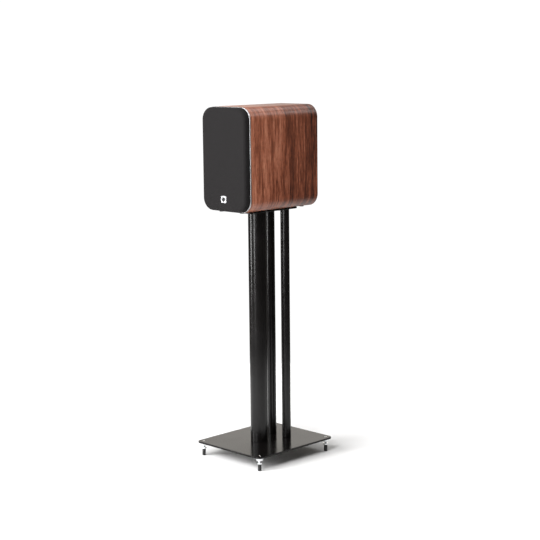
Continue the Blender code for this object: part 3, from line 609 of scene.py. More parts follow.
FINISHES = {
    # satin lacquer over dark ribbons, with painted shade towards the rear
    "veneer": (walnut_veneer(), "walnut_veneer"),
    # near-black cloth with a grey bloom
    "cloth": (grille_cloth(), "grille_cloth"),
    # pale satin metal
    "silver": (brushed_silver(), "silver_trim"),
    # badge: the same metal, a little duller
    "badge": (polished("satin_silver_badge", "#78787a", "#8c8c8e", (0.32, 0.42)), "silver_trim"),
    # tubes: satin black that draws long soft streaks
    "coat": (powder_coat("satin_black_powder_coat", (0.20, 0.28), 420.0, 1.34), "black_coat"),
    # base plate: smoother black that mirrors the columns
    "plate": (powder_coat("smooth_black_powder_coat", (0.14, 0.20), 300.0, 1.28), "black_coat"),
    # raw board with a painted rear edge
    "wall": (edge_painted_board(), "raw_board"),
    # bright mirror-like plating
    "chrome": (polished("polished_chrome_plate", "#d4d6d8", "#e9eaec", (0.05, 0.14)), "chrome"),
    # warm yellow plating
    "gold": (polished("gold_plated_brass", "#b98a35", "#d9b060", (0.16, 0.28)), "brass"),
    # dull grey-blue plating
    "zinc": (polished("zinc_plated_steel", "#8d9092", "#aeb1b2", (0.28, 0.42)), "zinc_steel"),
    # black oxide: dark satin screw heads
    "screw": (polished("black_oxide_steel", "#1b1b1c", "#2b2b2d", (0.30, 0.45)), "zinc_steel"),
    # close copper turns
    "winding": (enamelled_winding(), "copper"),
    # matt board paint with a slight grain
    "board": (speckled("black_painted_fibreboard", "#0b0b0b", "#121111", (0.5, 0.65), 900.0,
                       Specular_IOR_Level=0.25),
              "black_board"),
    # bare board
    "raw": (speckled("raw_fibreboard", "#8a6a48", "#a98660", (0.8, 0.95), 900.0, 0.00006),
            "raw_board"),
    # spark-textured moulding
    "abs": (speckled("moulded_black_abs", "#0b0b0c", "#131314", (0.40, 0.55), 1300.0, 0.00003,
                     Specular_IOR_Level=0.3),
            "black_plastic"),
    # clear red cap
    "red": (speckled("moulded_red_acrylic", "#8f1212", "#a81a1a", (0.16, 0.28), 900.0, 0.00001),
            "red_plastic"),
    # matt moulded rubber
    "rubber": (speckled("moulded_black_rubber", "#0f0f0f", "#171717", (0.55, 0.72), 1100.0,
                        0.00004), "rubber"),
    # surround: slightly glossier butyl
    "butyl": (speckled("butyl_rubber", "#0d0d0e", "#151516", (0.42, 0.55), 700.0, 0.00002,
                       Specular_IOR_Level=0.35),
              "rubber"),
    # felted paper with pressed fibres
    "paper": (speckled("pressed_paper_pulp", "#151517", "#222224", (0.65, 0.85), 600.0, 0.00008,
                       5.0, Specular_IOR_Level=0.3), "cone_paper"),
    # coated dome
    "dome": (speckled("coated_dome_fabric", "#151516", "#202022", (0.5, 0.65), 1800.0, 0.00003),
             "dome_fabric"),
    # resin-stiffened yellow cloth
    "spider": (speckled("resin_treated_cotton", "#a5803f", "#c39c57", (0.75, 0.9), 1500.0,
                        0.00008), "spider_cloth"),
    # gritty grey-black ceramic
    "ferrite": (speckled("sintered_ferrite", "#2b2b2e", "#3a3a3d", (0.5, 0.7), 800.0, 0.00005),
                "ferrite"),
    # green laminate under solder mask
    "laminate": (speckled("glass_epoxy_laminate", "#0f3d22", "#17502e", (0.3, 0.45), 1200.0,
                          0.00002), "circuit_board"),
    # shiny amber wrap
    "film": (speckled("polyester_film_wrap", "#b5791c", "#cf9430", (0.18, 0.3), 300.0, 0.00002),
             "film_sleeve"),
    # white cement body
    "cement": (speckled("ceramic_cement", "#cfcabc", "#dedacd", (0.8, 0.95), 700.0, 0.00008),
               "film_sleeve"),
    # soft wire insulation
    "sleeve_red": (speckled("red_wire_insulation", "#8a1613", "#a5201b", (0.4, 0.5), 500.0,
                            0.00001), "lead_sleeve"),
    "sleeve_black": (speckled("black_wire_insulation", "#121212", "#1b1b1b", (0.4, 0.5), 500.0,
                              0.00001), "lead_sleeve"),
    # white fluff with matted tufts
    "wadding": (speckled("polyester_wadding", "#bdbcb4", "#e4e3dc", (0.95, 1.0), 220.0, 0.0015,
                         6.0, Sheen_Weight=0.5), "wadding"),
}


# ------------------------------------------------------------------ cabinet

def make_cabinet():
    """Veneer sleeve over its board, silver ring, baffle and rear panel."""
    front = (CABINET_LOW.y - CABINET_MIDDLE[1]) / MM
    rear = (CABINET_HIGH.y - CABINET_MIDDLE[1]) / MM
    sleeve = [(0, front), (0, rear), (0.6, rear), (0.6, front), (0, front)]
    lofted("cabinet_veneer", CABINET_SIZE, sleeve, CABINET_MIDDLE, "veneer", ROOT,
           ["cabinet_shell"], ease=[0.25, 0.25, 0.1, 0.1], steps=28, around=True)
    board = [(0.62, front), (0.62, rear), (15, rear), (15, front), (0.62, front)]
    lofted("cabinet_wall", CABINET_SIZE, board, CABINET_MIDDLE, "wall", ROOT, steps=28)

    centre = np.array([0, BAFFLE, CABINET_MIDDLE[2]])
    ring = [(0, 0.5), (0, 3.5), (6, 3.5), (6, 0), (0.5, 0), (0, 0.5)]
    lofted("silver_trim_ring", CABINET_SIZE, ring, centre, "silver", ROOT, ["trim_ring"],
           ease=[0.4, 0.1, 0.1, 0.3, 0.4], steps=28)

    # painted shade: a thin black rubber ring over the silver ring's front, a dark sheet put where
    # the gap behind the cloth's hem lies in shade
    shade_ring = [(0.75, -0.25), (0.75, 0.3), (5.4, 0.3), (5.4, -0.25), (0.75, -0.25)]
    lofted("baffle_shade_ring", CABINET_SIZE, shade_ring, centre, "rubber", ROOT, ease=0.15, steps=28)
    points, normals = rounded_rectangle(CABINET_SIZE, [6.3], 20)
    face = eased([(0.8, 0.3), (0, 0.3), (0, 3.5), (9, 3.5), (9, 18.5), (9.8, 18.5)], 0.3)
    holes = []
    for driver, recess, opening, depth in ((WOOFER, 65.3, 52.3, 4.3), (TWEETER, 38.3, 24.0, 4.8)):
        up = (driver[2] - centre[2]) / MM
        wall = eased([(-0.6, 0.3), (0, 0.3), (0, depth), (opening - recess, depth),
                      (opening - recess, 18.5), (opening - recess - 0.6, 18.5)], 0.2)
        ring_points, ring_normals = circle(0, up, recess, 96)
        holes.append((ring_points, ring_normals, wall))
    add_piece("front_baffle_board", plate_patches((points[0], normals, face), holes, centre, "Y"),
              "board", ROOT, ["front_baffle"])
    for index, (across, up) in enumerate(MAGNETS):
        place = centre + np.array([across, 0, up]) * MM
        turned(f"grille_keeper_{index}", [(0, 0.25), (3.6, 0.25), (3.6, 2.4), (0, 2.4)], place,
               "Y", "zinc", ROOT, segments=32)

    back = np.array([0, REAR, CABINET_MIDDLE[2]])
    points, normals = rounded_rectangle(CABINET_SIZE, [15.3], 20)
    panel = eased([(0.8, -3), (0, -3), (0, -21), (0.8, -21)], 0.4)
    port_points, port_normals = circle(0, (PORT[2] - back[2]) / MM, 23.0, 64)
    cup_points, cup_normals = rounded_rectangle((84, 96, 8), [7.5], 6)
    cup_points = cup_points[0] + np.array([0, (CUP[2] - back[2]) / MM])
    cut = np.array([(0.0, -3.0), (0.0, -21.0)])
    rear_holes = [(port_points, port_normals, cut), (cup_points, -cup_normals, cut)]
    add_piece("rear_panel_board", plate_patches((points[0], normals, panel), rear_holes, back, "Y"),
              "board", ROOT, ["rear_panel"])


def make_grille():
    """Cloth drawn over a rounded moulded frame, its four magnets, and a plain satin badge."""
    centre = np.array([0, BAFFLE, CABINET_MIDDLE[2]])
    face = (GRILLE_FACE - BAFFLE) / MM
    quarter = np.radians(np.linspace(0, 90, 13))
    bend = np.stack([1.45 + 9 * (1 - np.sin(quarter)), face + 0.25 + 9 * (1 - np.cos(quarter))], 1)
    flat = np.stack([np.linspace(CABINET_SIZE[0] / 2, 11.5, 8), np.full(8, face + 0.25)], 1)
    hem = [(1.45, -3.0), (1.45, -0.9), (1.8, -0.6), (4.5, -0.6), (9.0, -0.6)]
    path = np.vstack([flat, bend, hem])
    skin = lofted_patch(CABINET_SIZE, path, centre, steps=24)
    cloth = add_piece("grille_cloth_cover", [skin], "cloth", "grille", ["grille_cloth"], 60.0, 0.45)

    rim = np.stack([2.6 + 7.6 * (1 - np.sin(quarter)), face + 1.4 + 7.6 * (1 - np.cos(quarter))], 1)
    ring = np.vstack([rim, [(2.6, -1.0), (16.5, -1.0), (16.5, rim[0, 1]), rim[0]]])
    patches = [lofted_patch(CABINET_SIZE, ring, centre, steps=24)]
    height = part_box("grille_frame")
    bar = (WOOFER[2] + TWEETER[2] + 0.027) / 2 - centre[2]
    length = (height[1].x - height[0].x) / MM - 30
    bar_path = eased([(3, 0), (0, 0), (0, length), (3, length)], 0.8)
    bar_place = centre + np.array([-length / 2 * MM, (face + 6.0) * MM, bar])
    patches.append(lofted_patch((4, 6, 1.5), bar_path, bar_place, "X", 4))
    add_piece("moulded_grille_frame", patches, "abs", "grille", ["grille_frame"])
    for index, (across, up) in enumerate(MAGNETS):
        place = centre + np.array([across, 0, up]) * MM
        turned(f"grille_magnet_{index}", [(0, -3.3), (3.5, -3.3), (3.5, -0.65), (0, -0.65)], place,
               "Y", "zinc", "grille", segments=32)

    badge_middle = middle("badge_plate")
    badge_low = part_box("badge_plate")[0].y
    place = np.array([0, badge_low, badge_middle[2]])
    badge = [(10, 0.12), (0.5, 0.12), (0, 0.4), (0, 0.75), (10, 0.75)]
    lofted("plain_badge", (20, 20, 4), badge, place, "badge", "grille", ["badge_plate"],
           ease=0.3, steps=12)
    turned("plain_badge_inlay", [(0, 0.06), (6.0, 0.06), (6.0, 0.4), (0, 0.4)], place, "Y",
           "board", "grille", (), 0.04, 48)


# ------------------------------------------------------------------ drivers

def hexagon(t, key):
    """Extra radius that makes a round socket six-sided: key / cos(angle to its flat) - key."""
    return key * (1 / np.cos(np.mod(t, np.pi / 3) - np.pi / 6) - 1)


def screw_thread(t, along, pitch, depth):
    """Depth of a V thread: deepest half a pitch from its crest, which climbs one pitch a turn."""
    turn = np.mod(along / pitch - t / (2 * np.pi), 1.0)
    return depth * (1 - np.abs(2 * turn - 1))


def socket_head(radius, height, key, depth):
    """Profile and relief of a round screw head, with a hexagonal socket: inside the socket the
    wall follows the hexagon key / cos(angle to its nearest flat)."""
    profile = [(0, depth), (key, depth), (key, 0), (radius, 0), (radius, height), (0, height)]

    def relief(t, along, size):
        wall = np.where(np.abs(size - key) < 0.35, hexagon(t, key) * 0.9, 0)
        return np.where(along < depth + 0.05, wall, 0)

    return profile, relief


def add_screws(prefix, places, axis, towards, finish, body, radius=3.6, height=1.4, key=1.4):
    """Socket screws with their heads at the places; towards is +1 where a head faces -axis."""
    profile, relief = socket_head(radius, height, key, height * 0.7)
    path = np.array(profile, float) * [1, towards]
    for index, place in enumerate(places):
        def flipped(t, along, size):
            return relief(t, along * towards, size)
        turned(f"{prefix}_{index}", path, place, axis, finish, body, ease=0.25, segments=48,
               relief=flipped)


def driver_places(centre, radius, count, first, depth):
    """Points round a driver, a depth in millimetres behind its baffle plane."""
    turn = np.radians(first) + np.arange(count) * 2 * np.pi / count
    ring = np.stack([np.cos(turn), 0 * turn, np.sin(turn)], 1) * radius * MM
    return ring + centre + np.array([0, depth * MM, 0])


def flexes(piece, centre, inner, outer):
    """Unparent a suspension and bake its place into its points. A share smooth in the distance
    from the driver's axis, 1 at inner and 0 at outer, is worked out but not stored."""
    piece.parent = None
    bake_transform(piece)
    points = np.empty(len(piece.data.vertices) * 3, np.float32)
    piece.data.vertices.foreach_get("co", points)
    away = points.reshape(-1, 3) - centre
    radius = np.hypot(away[:, 0], away[:, 2]) / MM
    share = np.clip((outer - radius) / (outer - inner), 0, 1)
    share = (share * share * (3 - 2 * share)).astype(np.float32)


def make_woofer():
    """Bass driver, front to back: flange, surround, cone, cap, spider, coil, magnet system."""
    flange = [(65, 0.5), (65, 4), (50.2, 4), (49.5, 6), (49.5, 2), (57.5, 2), (57.5, 0.5),
              (65, 0.5)]
    turned("woofer_flange", flange, WOOFER, "Y", "abs", ROOT, ["woofer_basket"], 0.35, 128)
    h = np.linspace(5.0, 37.0, 33)[:, None]
    t = np.linspace(0, 2 * np.pi, 145)[None]
    wall = 50.5 - (h - 5.0) * 0.41 + 0 * t
    points = stand_up(wall * np.cos(t), wall * np.sin(t), h + 0 * t, "Y") * MM + WOOFER
    spots, quads, uv = grid_patch(points)
    middles = spots[quads].mean(1) - WOOFER
    turn = np.degrees(np.arctan2(middles[:, 2], middles[:, 0])) % 60
    depth = middles[:, 1] / MM
    window = (np.abs(turn - 30) > 15) & (depth > 9) & (depth < 29)
    add_piece("woofer_basket_legs", [(spots, quads[~window], uv)], "coat", ROOT,
              thickness=1.2)
    ring = [(38.2, 37), (38.2, 41), (17, 41), (17, 38.2), (32.5, 38.2), (32.5, 32.5), (36.5, 32.5),
            (37.4, 37), (38.2, 37)]
    turned("woofer_rear_ring", ring, WOOFER, "Y", "coat", ROOT, (), 0.3)

    roll = np.linspace(0, np.pi, 25)
    bulge = np.stack([46.2 + 4.6 * np.cos(roll), 1.4 - 4.6 * np.sin(roll)], 1)
    skin = np.vstack([[(57.2, 1.4), (52.0, 1.4)], bulge, [(40.6, 1.5), (38.2, 1.5)]])
    surround = turned_sheet("woofer_roll_surround", skin, 0.6, WOOFER, 128, "butyl", ROOT,
                            ["woofer_surround"])
    flexes(surround, WOOFER, 40.5, 52.0)

    depth_of = np.linspace(0, 1, 40)
    flare = np.stack([40.8 - 26.4 * depth_of, 2.6 + 21.8 * depth_of ** 1.18], 1)
    turned_sheet("woofer_paper_cone", flare, 0.8, WOOFER, 128, "paper", WOOFER_BODY,
                 ["woofer_cone"])
    swing = np.linspace(0, 1, 24)
    cap = np.stack([17.4 * swing, 14.0 + 5.2 * swing ** 2], 1)
    turned_sheet("woofer_cap", cap, 0.7, WOOFER, 96, "butyl", WOOFER_BODY, ["woofer_dust_cap"])

    fold = np.linspace(36.4, 14.1, 180)
    ripple = 31.8 + 0.85 * np.sin((fold - 14) / 3.6 * 2 * np.pi) * ((fold < 32) & (fold > 17.5))
    spider = turned_sheet("woofer_corrugated_spider", np.stack([fold, ripple], 1), 0.4, WOOFER, 96,
                          "spider", ROOT, ["woofer_spider"])
    flexes(spider, WOOFER, 15.5, 33.0)

    former = [(12.7, 21.6), (13.35, 21.6), (13.35, 36), (14.1, 36), (14.1, 48), (13.35, 48),
              (13.35, 49), (12.7, 49), (12.7, 21.6)]
    turned("woofer_coil_winding", former, WOOFER, "Y", "winding", WOOFER_BODY,
           ["woofer_voice_coil"], 0.1)
    plate = [(14.9, 41.3), (36, 41.3), (36, 46.3), (14.9, 46.3), (14.9, 41.3)]
    turned("woofer_front_pole_plate", plate, WOOFER, "Y", "zinc", ROOT, ["woofer_top_plate"], 0.5)
    magnet = [(20, 46.6), (40, 46.6), (40, 61.6), (20, 61.6), (20, 46.6)]
    turned("woofer_ring_magnet", magnet, WOOFER, "Y", "ferrite", ROOT, ["woofer_magnet"], 1.0)
    yoke = [(0, 40.5), (12.1, 40.5), (12.1, 61.9), (37, 61.9), (37, 66.9), (0, 66.9)]
    turned("woofer_pole_and_yoke", yoke, WOOFER, "Y", "zinc", ROOT, ["woofer_yoke"], 0.8)
    add_screws("woofer_screw", driver_places(WOOFER, 61.25, 4, 45, 0.1), "Y", 1, "screw", ROOT,
               3.1, 1.1, 1.3)


def make_tweeter():
    """Soft-dome driver, front to back: waveguide plate, surround, dome, coil, magnet system."""
    horn = np.linspace(0, 1, 16)
    curve = np.stack([15.6 + 7.4 * horn ** 1.6, 4.3 - 3.8 * np.sin(horn * np.pi / 2)], 1)
    plate = np.vstack([curve, [(30, 0.5), (38, 0.5), (38, 4.5), (22.5, 4.5), (22.5, 5.7),
                               (17.6, 5.7), (17.6, 4.6), (15.6, 4.6), (15.6, 4.3)]])
    ease = np.r_[np.full(15, 0.05), np.full(len(plate) - 16, 0.35)]
    turned("tweeter_waveguide_plate", plate, TWEETER, "Y", "abs", ROOT, ["tweeter_faceplate"],
           ease, 128)
    roll = np.linspace(0, np.pi, 15)
    bulge = np.stack([12.9 + 1.5 * np.cos(roll), 5.05 - 1.5 * np.sin(roll)], 1)
    skin = np.vstack([[(17.2, 5.05), (15.0, 5.05)], bulge, [(11.15, 5.05)]])
    surround = turned_sheet("tweeter_roll_surround", skin, 0.3, TWEETER, 96, "butyl", ROOT,
                            ["tweeter_surround"])
    flexes(surround, TWEETER, 11.5, 14.6)
    swing = np.linspace(0, 1, 24)
    cap = np.stack([10.5 * swing, 1.0 + 3.75 * swing ** 2.1], 1)
    turned_sheet("tweeter_soft_dome", cap, 0.35, TWEETER, 96, "dome", TWEETER_BODY,
                 ["tweeter_dome"])
    coil = [(10.75, 5.6), (11.05, 5.6), (11.05, 6.6), (11.45, 6.6), (11.45, 9.4), (11.05, 9.4),
            (11.05, 10.5), (10.75, 10.5), (10.75, 5.6)]
    turned("tweeter_coil_winding", coil, TWEETER, "Y", "winding", TWEETER_BODY,
           ["tweeter_voice_coil"], 0.05)
    plate = [(12, 6), (22, 6), (22, 8.6), (12, 8.6), (12, 6)]
    turned("tweeter_front_pole_plate", plate, TWEETER, "Y", "zinc", ROOT, ["tweeter_top_plate"],
           0.3)
    magnet = [(14, 8.9), (22, 8.9), (22, 16.9), (14, 16.9), (14, 8.9)]
    turned("tweeter_ring_magnet", magnet, TWEETER, "Y", "ferrite", ROOT, ["tweeter_magnet"], 0.6)
    yoke = [(0, 6.2), (10.2, 6.2), (10.2, 17.2), (21.5, 17.2), (21.5, 20.2), (0, 20.2)]
    turned("tweeter_pole_and_yoke", yoke, TWEETER, "Y", "zinc", ROOT, ["tweeter_yoke"], 0.5)
    add_screws("tweeter_screw", driver_places(TWEETER, 33.0, 3, 90, 0.1), "Y", 1, "screw", ROOT,
               2.8, 1.0, 1.2)


# ------------------------------------------------------------------ rear

def make_rear():
    """Flared port, terminal cup with its screws, and two gold posts with knurled nuts."""
    flare = [(33, -0.9), (33, -2.7), (22.5, -2.7), (22.5, -120), (20, -120), (20, -12), (20.6, -7),
             (22.2, -3.4), (25, -1.2), (28.5, -0.25), (32.2, -0.2), (33, -0.9)]
    turned("port_flare_and_tube", flare, PORT, "Y", "abs", ROOT, ["port_tube"], 1.2, 128)

    floor = (CUP_FLOOR - REAR) / MM
    cup = [(42, floor), (12, floor), (10, -2), (9.2, -0.2), (0.8, -0.2), (0, -1), (0, -2.7),
           (8, -2.7), (9.8, floor - 2), (42, floor - 2)]
    lofted("terminal_cup_moulding", (84, 96, 8), cup, CUP, "abs", ROOT, ["terminal_cup"],
           ease=0.8, steps=10)
    places = [CUP + np.array([side * 37, 0.1, rise * 43]) * MM for side in (-1, 1)
              for rise in (-1, 1)]
    add_screws("cup_screw", places, "Y", -1, "screw", ROOT, 2.9, 1.0, 1.2)

    def thread(t, along, size):
        cut = screw_thread(t, along, POST_PITCH, 0.28)
        return np.where((size > 2.8) & (along > -2.2) & (along < 14.8), -cut, 0)

    def knurl(t, along, size):
        grips = 0.22 * np.abs(np.sin(12 * t))
        return np.where((size > 6.2) & (along > 3.2) & (along < 14.4), -grips, 0)

    post = [(0, -9), (2.9, -9), (2.9, -5), (5, -5), (5, -2.3), (2.9, -2.3), (2.9, 15), (2.05, 15),
            (2.05, 8), (0, 8)]
    washer = [(3.3, 0.3), (5.6, 0.3), (5.6, 1.8), (3.3, 1.8), (3.3, 0.3)]
    nut = [(3.3, 2.1), (6.3, 2.1), (6.85, 2.8), (6.85, 14.8), (6.3, 15.5), (3.3, 15.5), (3.3, 2.1)]
    cap = [(3.05, 15.2), (3.05, 15.65), (5.0, 15.65), (5.0, 15.2), (3.05, 15.2)]
    for tint, finish in (("red", "red"), ("black", "abs")):
        place = middle(f"terminal_washer_{tint}")
        place = np.array([place[0], CUP_FLOOR, place[2]])
        turned(f"binding_post_{tint}", post, place, "Y", "gold", ROOT, [f"terminal_post_{tint}"],
               0.2, 48, thread, 0.14)
        turned(f"binding_washer_{tint}", washer, place, "Y", "gold", f"terminal_clamp_{tint}",
               [f"terminal_washer_{tint}"], 0.25, 64)
        turned(f"binding_nut_{tint}", nut, place, "Y", finish, f"terminal_knob_{tint}",
               [f"terminal_nut_{tint}"], 0.4, 144, knurl, 0.4)
        turned(f"binding_nut_ring_{tint}", cap, place, "Y", "gold", f"terminal_knob_{tint}", (),
               0.1, 64)
        turned(f"binding_post_collar_{tint}", [(3.1, 0.02), (5.4, 0.02), (5.4, 0.28), (3.1, 0.28),
               (3.1, 0.02)], place, "Y", "gold", ROOT, (), 0.08, 64)


def make_inside():
    """Crossover parts on their board, twin leads along their routes, and wadding."""
    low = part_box("crossover_board")[1].z
    seat = low + 0.3 * MM
    coil = [(7, 0.8), (14.2, 0.8), (14.2, 15.2), (7, 15.2), (7, 0.8)]
    spool = [(6.4, 0), (15, 0), (15, 0.8), (7, 0.8), (7, 15.2), (15, 15.2), (15, 16), (6.4, 16),
             (6.4, 0)]
    place = np.array([*middle("crossover_inductor")[:2], seat])
    turned("inductor_winding", coil, place, "Z", "winding", ROOT, ["crossover_inductor"], 0.3)
    turned("inductor_spool", spool, place, "Z", "abs", ROOT, (), 0.15)
    small = [(4, 0.6), (8.6, 0.6), (8.6, 10.4), (4, 10.4), (4, 0.6)]
    place = np.array([-0.024, 0.056, seat])
    turned("tweeter_inductor_winding", small, place, "Z", "winding", ROOT, (), 0.3)
    for name, node_name, radius, half, place in (
        ("film_capacitor_large", ["crossover_capacitor"], 6.9, 13.9, middle("crossover_capacitor")),
        ("film_capacitor_small", (), 4.6, 10.0, np.array([0.020, 0.034, seat + 4.7 * MM])),
    ):
        can = [(0, -half + 0.6), (radius - 1, -half + 0.6), (radius - 1, -half), (radius, -half),
               (radius, half), (radius - 1, half), (radius - 1, half - 0.6), (0, half - 0.6)]
        turned(name, can, place, "X", "film", ROOT, node_name, 0.4, 64)
    place = np.array([0.004, 0.052, seat])
    body = [(4.5, 0), (0, 0), (0, 9), (4.5, 9)]
    lofted("cement_resistor", (38, 9, 0.8), body, place, "cement", ROOT, (), 0.5, "Z", 4)
    for index, (x, y) in enumerate([(-0.037, -0.005), (0.037, -0.005), (-0.037, 0.075),
                                    (0.037, 0.075)]):
        foot = np.array([x, y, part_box("crossover_board")[0].z])
        turned(f"board_spacer_{index}", [(1.6, -4.8), (3.2, -4.8), (3.2, -0.1), (1.6, -0.1),
               (1.6, -4.8)], foot, "Z", "abs", ROOT, (), 0.2, 32)
    for name in ("crossover_board", "internal_brace"):
        finish = "laminate" if name == "crossover_board" else "raw"
        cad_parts[name].data.materials.clear()
        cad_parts[name].data.materials.append(FINISHES[finish][0])

    start = low + 4 * MM
    routes = {
        "input": [(0, CUP_FLOOR - 0.012, CUP[2]), (0, 0.095, 0.765), (0, 0.088, 0.735),
                  (0, 0.078, start)],
        "woofer": [(0.034, -0.004, start), (0.036, -0.015, 0.735), (0.045, -0.040, 0.755),
                   (0.047, -0.075, 0.775), (0.0425, -0.0920, WOOFER[2])],
        "tweeter": [(-0.034, -0.006, start + 0.015), (-0.040, -0.018, 0.755),
                    (-0.042, -0.030, 0.790), (-0.044, -0.048, 0.845), (-0.036, -0.070, 0.882),
                    (-0.016, -0.101, TWEETER[2])],
    }
    for use, points in routes.items():
        route = smooth_route(points, 14)
        for side, tint in ((0.62, "red"), (-0.62, "black")):
            patch = swept_patch(route, 0.6 * MM, 12, 0.022, side * MM)
            replaced = [f"internal_lead_{use}"] if tint == "red" else ()
            add_piece(f"lead_{use}_{tint}", [patch], f"sleeve_{tint}", ROOT, replaced)
    make_wadding()


def make_wadding():
    """Quilted mat along the top and both sides: an arch 14 mm thick plus up to 4 mm of soft
    swells, a sum of sines of the way round and the depth, thinner at its front and rear."""
    low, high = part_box("damping_wadding")
    side, top, bottom, bend = high.x - 0.5 * MM, high.z - 0.5 * MM, low.z, 0.020
    half_turn = np.linspace(0, np.pi / 2, 12)
    right = np.stack([side - bend + bend * np.cos(half_turn),
                      top - bend + bend * np.sin(half_turn)], 1)
    leg = np.stack([np.full(16, side), np.linspace(bottom, top - bend, 16)], 1)[:-1]
    arch = np.vstack([leg, right])
    arch = np.vstack([arch, (arch * [-1, 1])[::-1]])
    ahead = np.gradient(arch, axis=0)
    inward = np.stack([-ahead[:, 1], ahead[:, 0]], 1)
    inward /= np.linalg.norm(inward, axis=1)[:, None]
    depth = np.linspace(low.y, high.y, 48)
    u, v = np.meshgrid(np.arange(len(arch)) / 6.0, depth / 0.012, indexing="ij")
    swell = 0.5 + 0.2 * np.sin(u * 1.7) + 0.2 * np.sin(v * 0.8 + u) + 0.1 * np.sin(v * 2.3 - u * 2)
    edge = np.minimum(depth - low.y, high.y - depth)
    thin = np.clip(edge / 0.008, 0, 1) ** 0.5
    thickness = (0.014 + 0.004 * swell) * (0.35 + 0.65 * thin[None])
    outer = np.stack([np.repeat(arch[:, :1], 48, 1), np.broadcast_to(depth, u.shape),
                      np.repeat(arch[:, 1:], 48, 1)], -1)
    push = np.stack([inward[:, 0], 0 * inward[:, 0], inward[:, 1]], 1)[:, None]
    inner = outer + push * thickness[..., None]
    shell = np.concatenate([outer, inner[:, ::-1], outer[:, :1]], axis=1)
    first = np.broadcast_to(shell[:1].mean(1, keepdims=True), shell[:1].shape)
    last = np.broadcast_to(shell[-1:].mean(1, keepdims=True), shell[:1].shape)
    patch = grid_patch(np.concatenate([first, shell, last]))
    mat = add_piece("wadding_mat", [patch], "wadding", ROOT, ["damping_wadding"], 80.0)


# ------------------------------------------------------------------ stand

def make_stand():
    """Top plate, three tubes with rolled ends, base plate with spike holes, and bolts."""
    columns = [middle(name) for name in COLUMNS]
    top_centre = middle("stand_top_plate") * [1, 1, 0]
    size = ((TOP_HIGH.x - TOP_LOW.x) / MM, (TOP_HIGH.y - TOP_LOW.y) / MM, 8)
    points, normals = rounded_rectangle(size, [0.0], 12)
    low, high = TOP_LOW.z / MM, TOP_HIGH.z / MM
    rim = eased([(1.2, high), (0, high), (0, low), (1.2, low)], 0.5)
    holes = []
    for place in columns:
        x, y = (place[:2] - top_centre[:2]) / MM
        loop, facing = circle(x, y, COLUMN_BOLT)
        seat = np.array([(-4.0, high), (-3.8, high), (0, high - 3.2), (0, low)])
        holes.append((loop, facing, seat))
    for x, y in CABINET_BOLTS:
        loop, facing = circle((x - top_centre[0]) / MM, (y - top_centre[1]) / MM, 2.8, 32)
        holes.append((loop, facing, np.array([(0.0, high), (0.0, low)])))
    add_piece("top_plate_steel", plate_patches((points[0], normals, rim), holes, top_centre, "Z"),
              "coat", ROOT, ["stand_top_plate"])

    size = ((BASE_HIGH.x - BASE_LOW.x) / MM, (BASE_HIGH.y - BASE_LOW.y) / MM, 13)
    points, normals = rounded_rectangle(size, [0.0], 20)
    low, high = BASE_LOW.z / MM, BASE_HIGH.z / MM
    rim = eased([(2.0, high), (0, high), (0, low), (2.0, low)], 0.9, 7)
    holes = []
    for corner in CORNERS:
        spot = middle(f"spike_{corner}") / MM
        loop, facing = circle(spot[0], spot[1], 4.3)
        edge = eased([(-0.9, high), (0, high), (0, low), (-0.9, low)], 0.3)
        holes.append((loop, facing, edge))
    for place in columns:
        loop, facing = circle(place[0] / MM, place[1] / MM, COLUMN_BOLT)
        seat = np.array([(0, high), (0, low + 3.2), (-3.8, low), (-4.0, low)])
        holes.append((loop, facing, seat))
    add_piece("base_plate_steel", plate_patches((points[0], normals, rim), holes, np.zeros(3), "Z"),
              "plate", ROOT, ["stand_base_plate"])

    bolt = [(0, 1.8), (1.9, 1.8), (1.9, 0), (6.6, 0), (3.2, 3.2), (3.0, 14.5), (0, 14.5)]
    ends = (("upper", TOP_HIGH.z - 0.1 * MM, -1), ("lower", BASE_LOW.z + 0.1 * MM, 1))

    def hex_key(t, along, size):
        near = (np.abs(size - 1.9) < 0.3) & (np.abs(along) < 1.85)
        return np.where(near, hexagon(t, 1.9), 0)

    for name, place in zip(COLUMNS, columns):
        low_corner, high_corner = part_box(name)
        radius = (high_corner.x - low_corner.x) / 2 / MM
        bottom, top = low_corner.z / MM, high_corner.z / MM
        wall = 2.0 if radius > 20 else 1.5
        tube = [(3.4, bottom), (radius, bottom), (radius, top), (3.4, top), (3.4, top - 12),
                (radius - wall, top - 12), (radius - wall, bottom + 12), (3.4, bottom + 12),
                (3.4, bottom)]
        centre = np.array([place[0], place[1], 0])
        turned(name.replace("stand_", "") + "_tube", tube, centre, "Z", "coat", ROOT, [name], 0.6,
               128)
        for end, face, towards in ends:
            path = np.array(bolt, float) * [1, towards]
            spot = np.array([place[0], place[1], face])
            turned(f"column_bolt_{end}_{COLUMNS.index(name)}", path, spot, "Z", "screw", ROOT, (),
                   0.2, 48, hex_key)
    heads = [np.array([x, y, TOP_LOW.z - 0.05 * MM]) for x, y in CABINET_BOLTS]
    add_screws("cabinet_bolt", heads, "Z", -1, "screw", ROOT, 5.0, 2.6, 1.9)


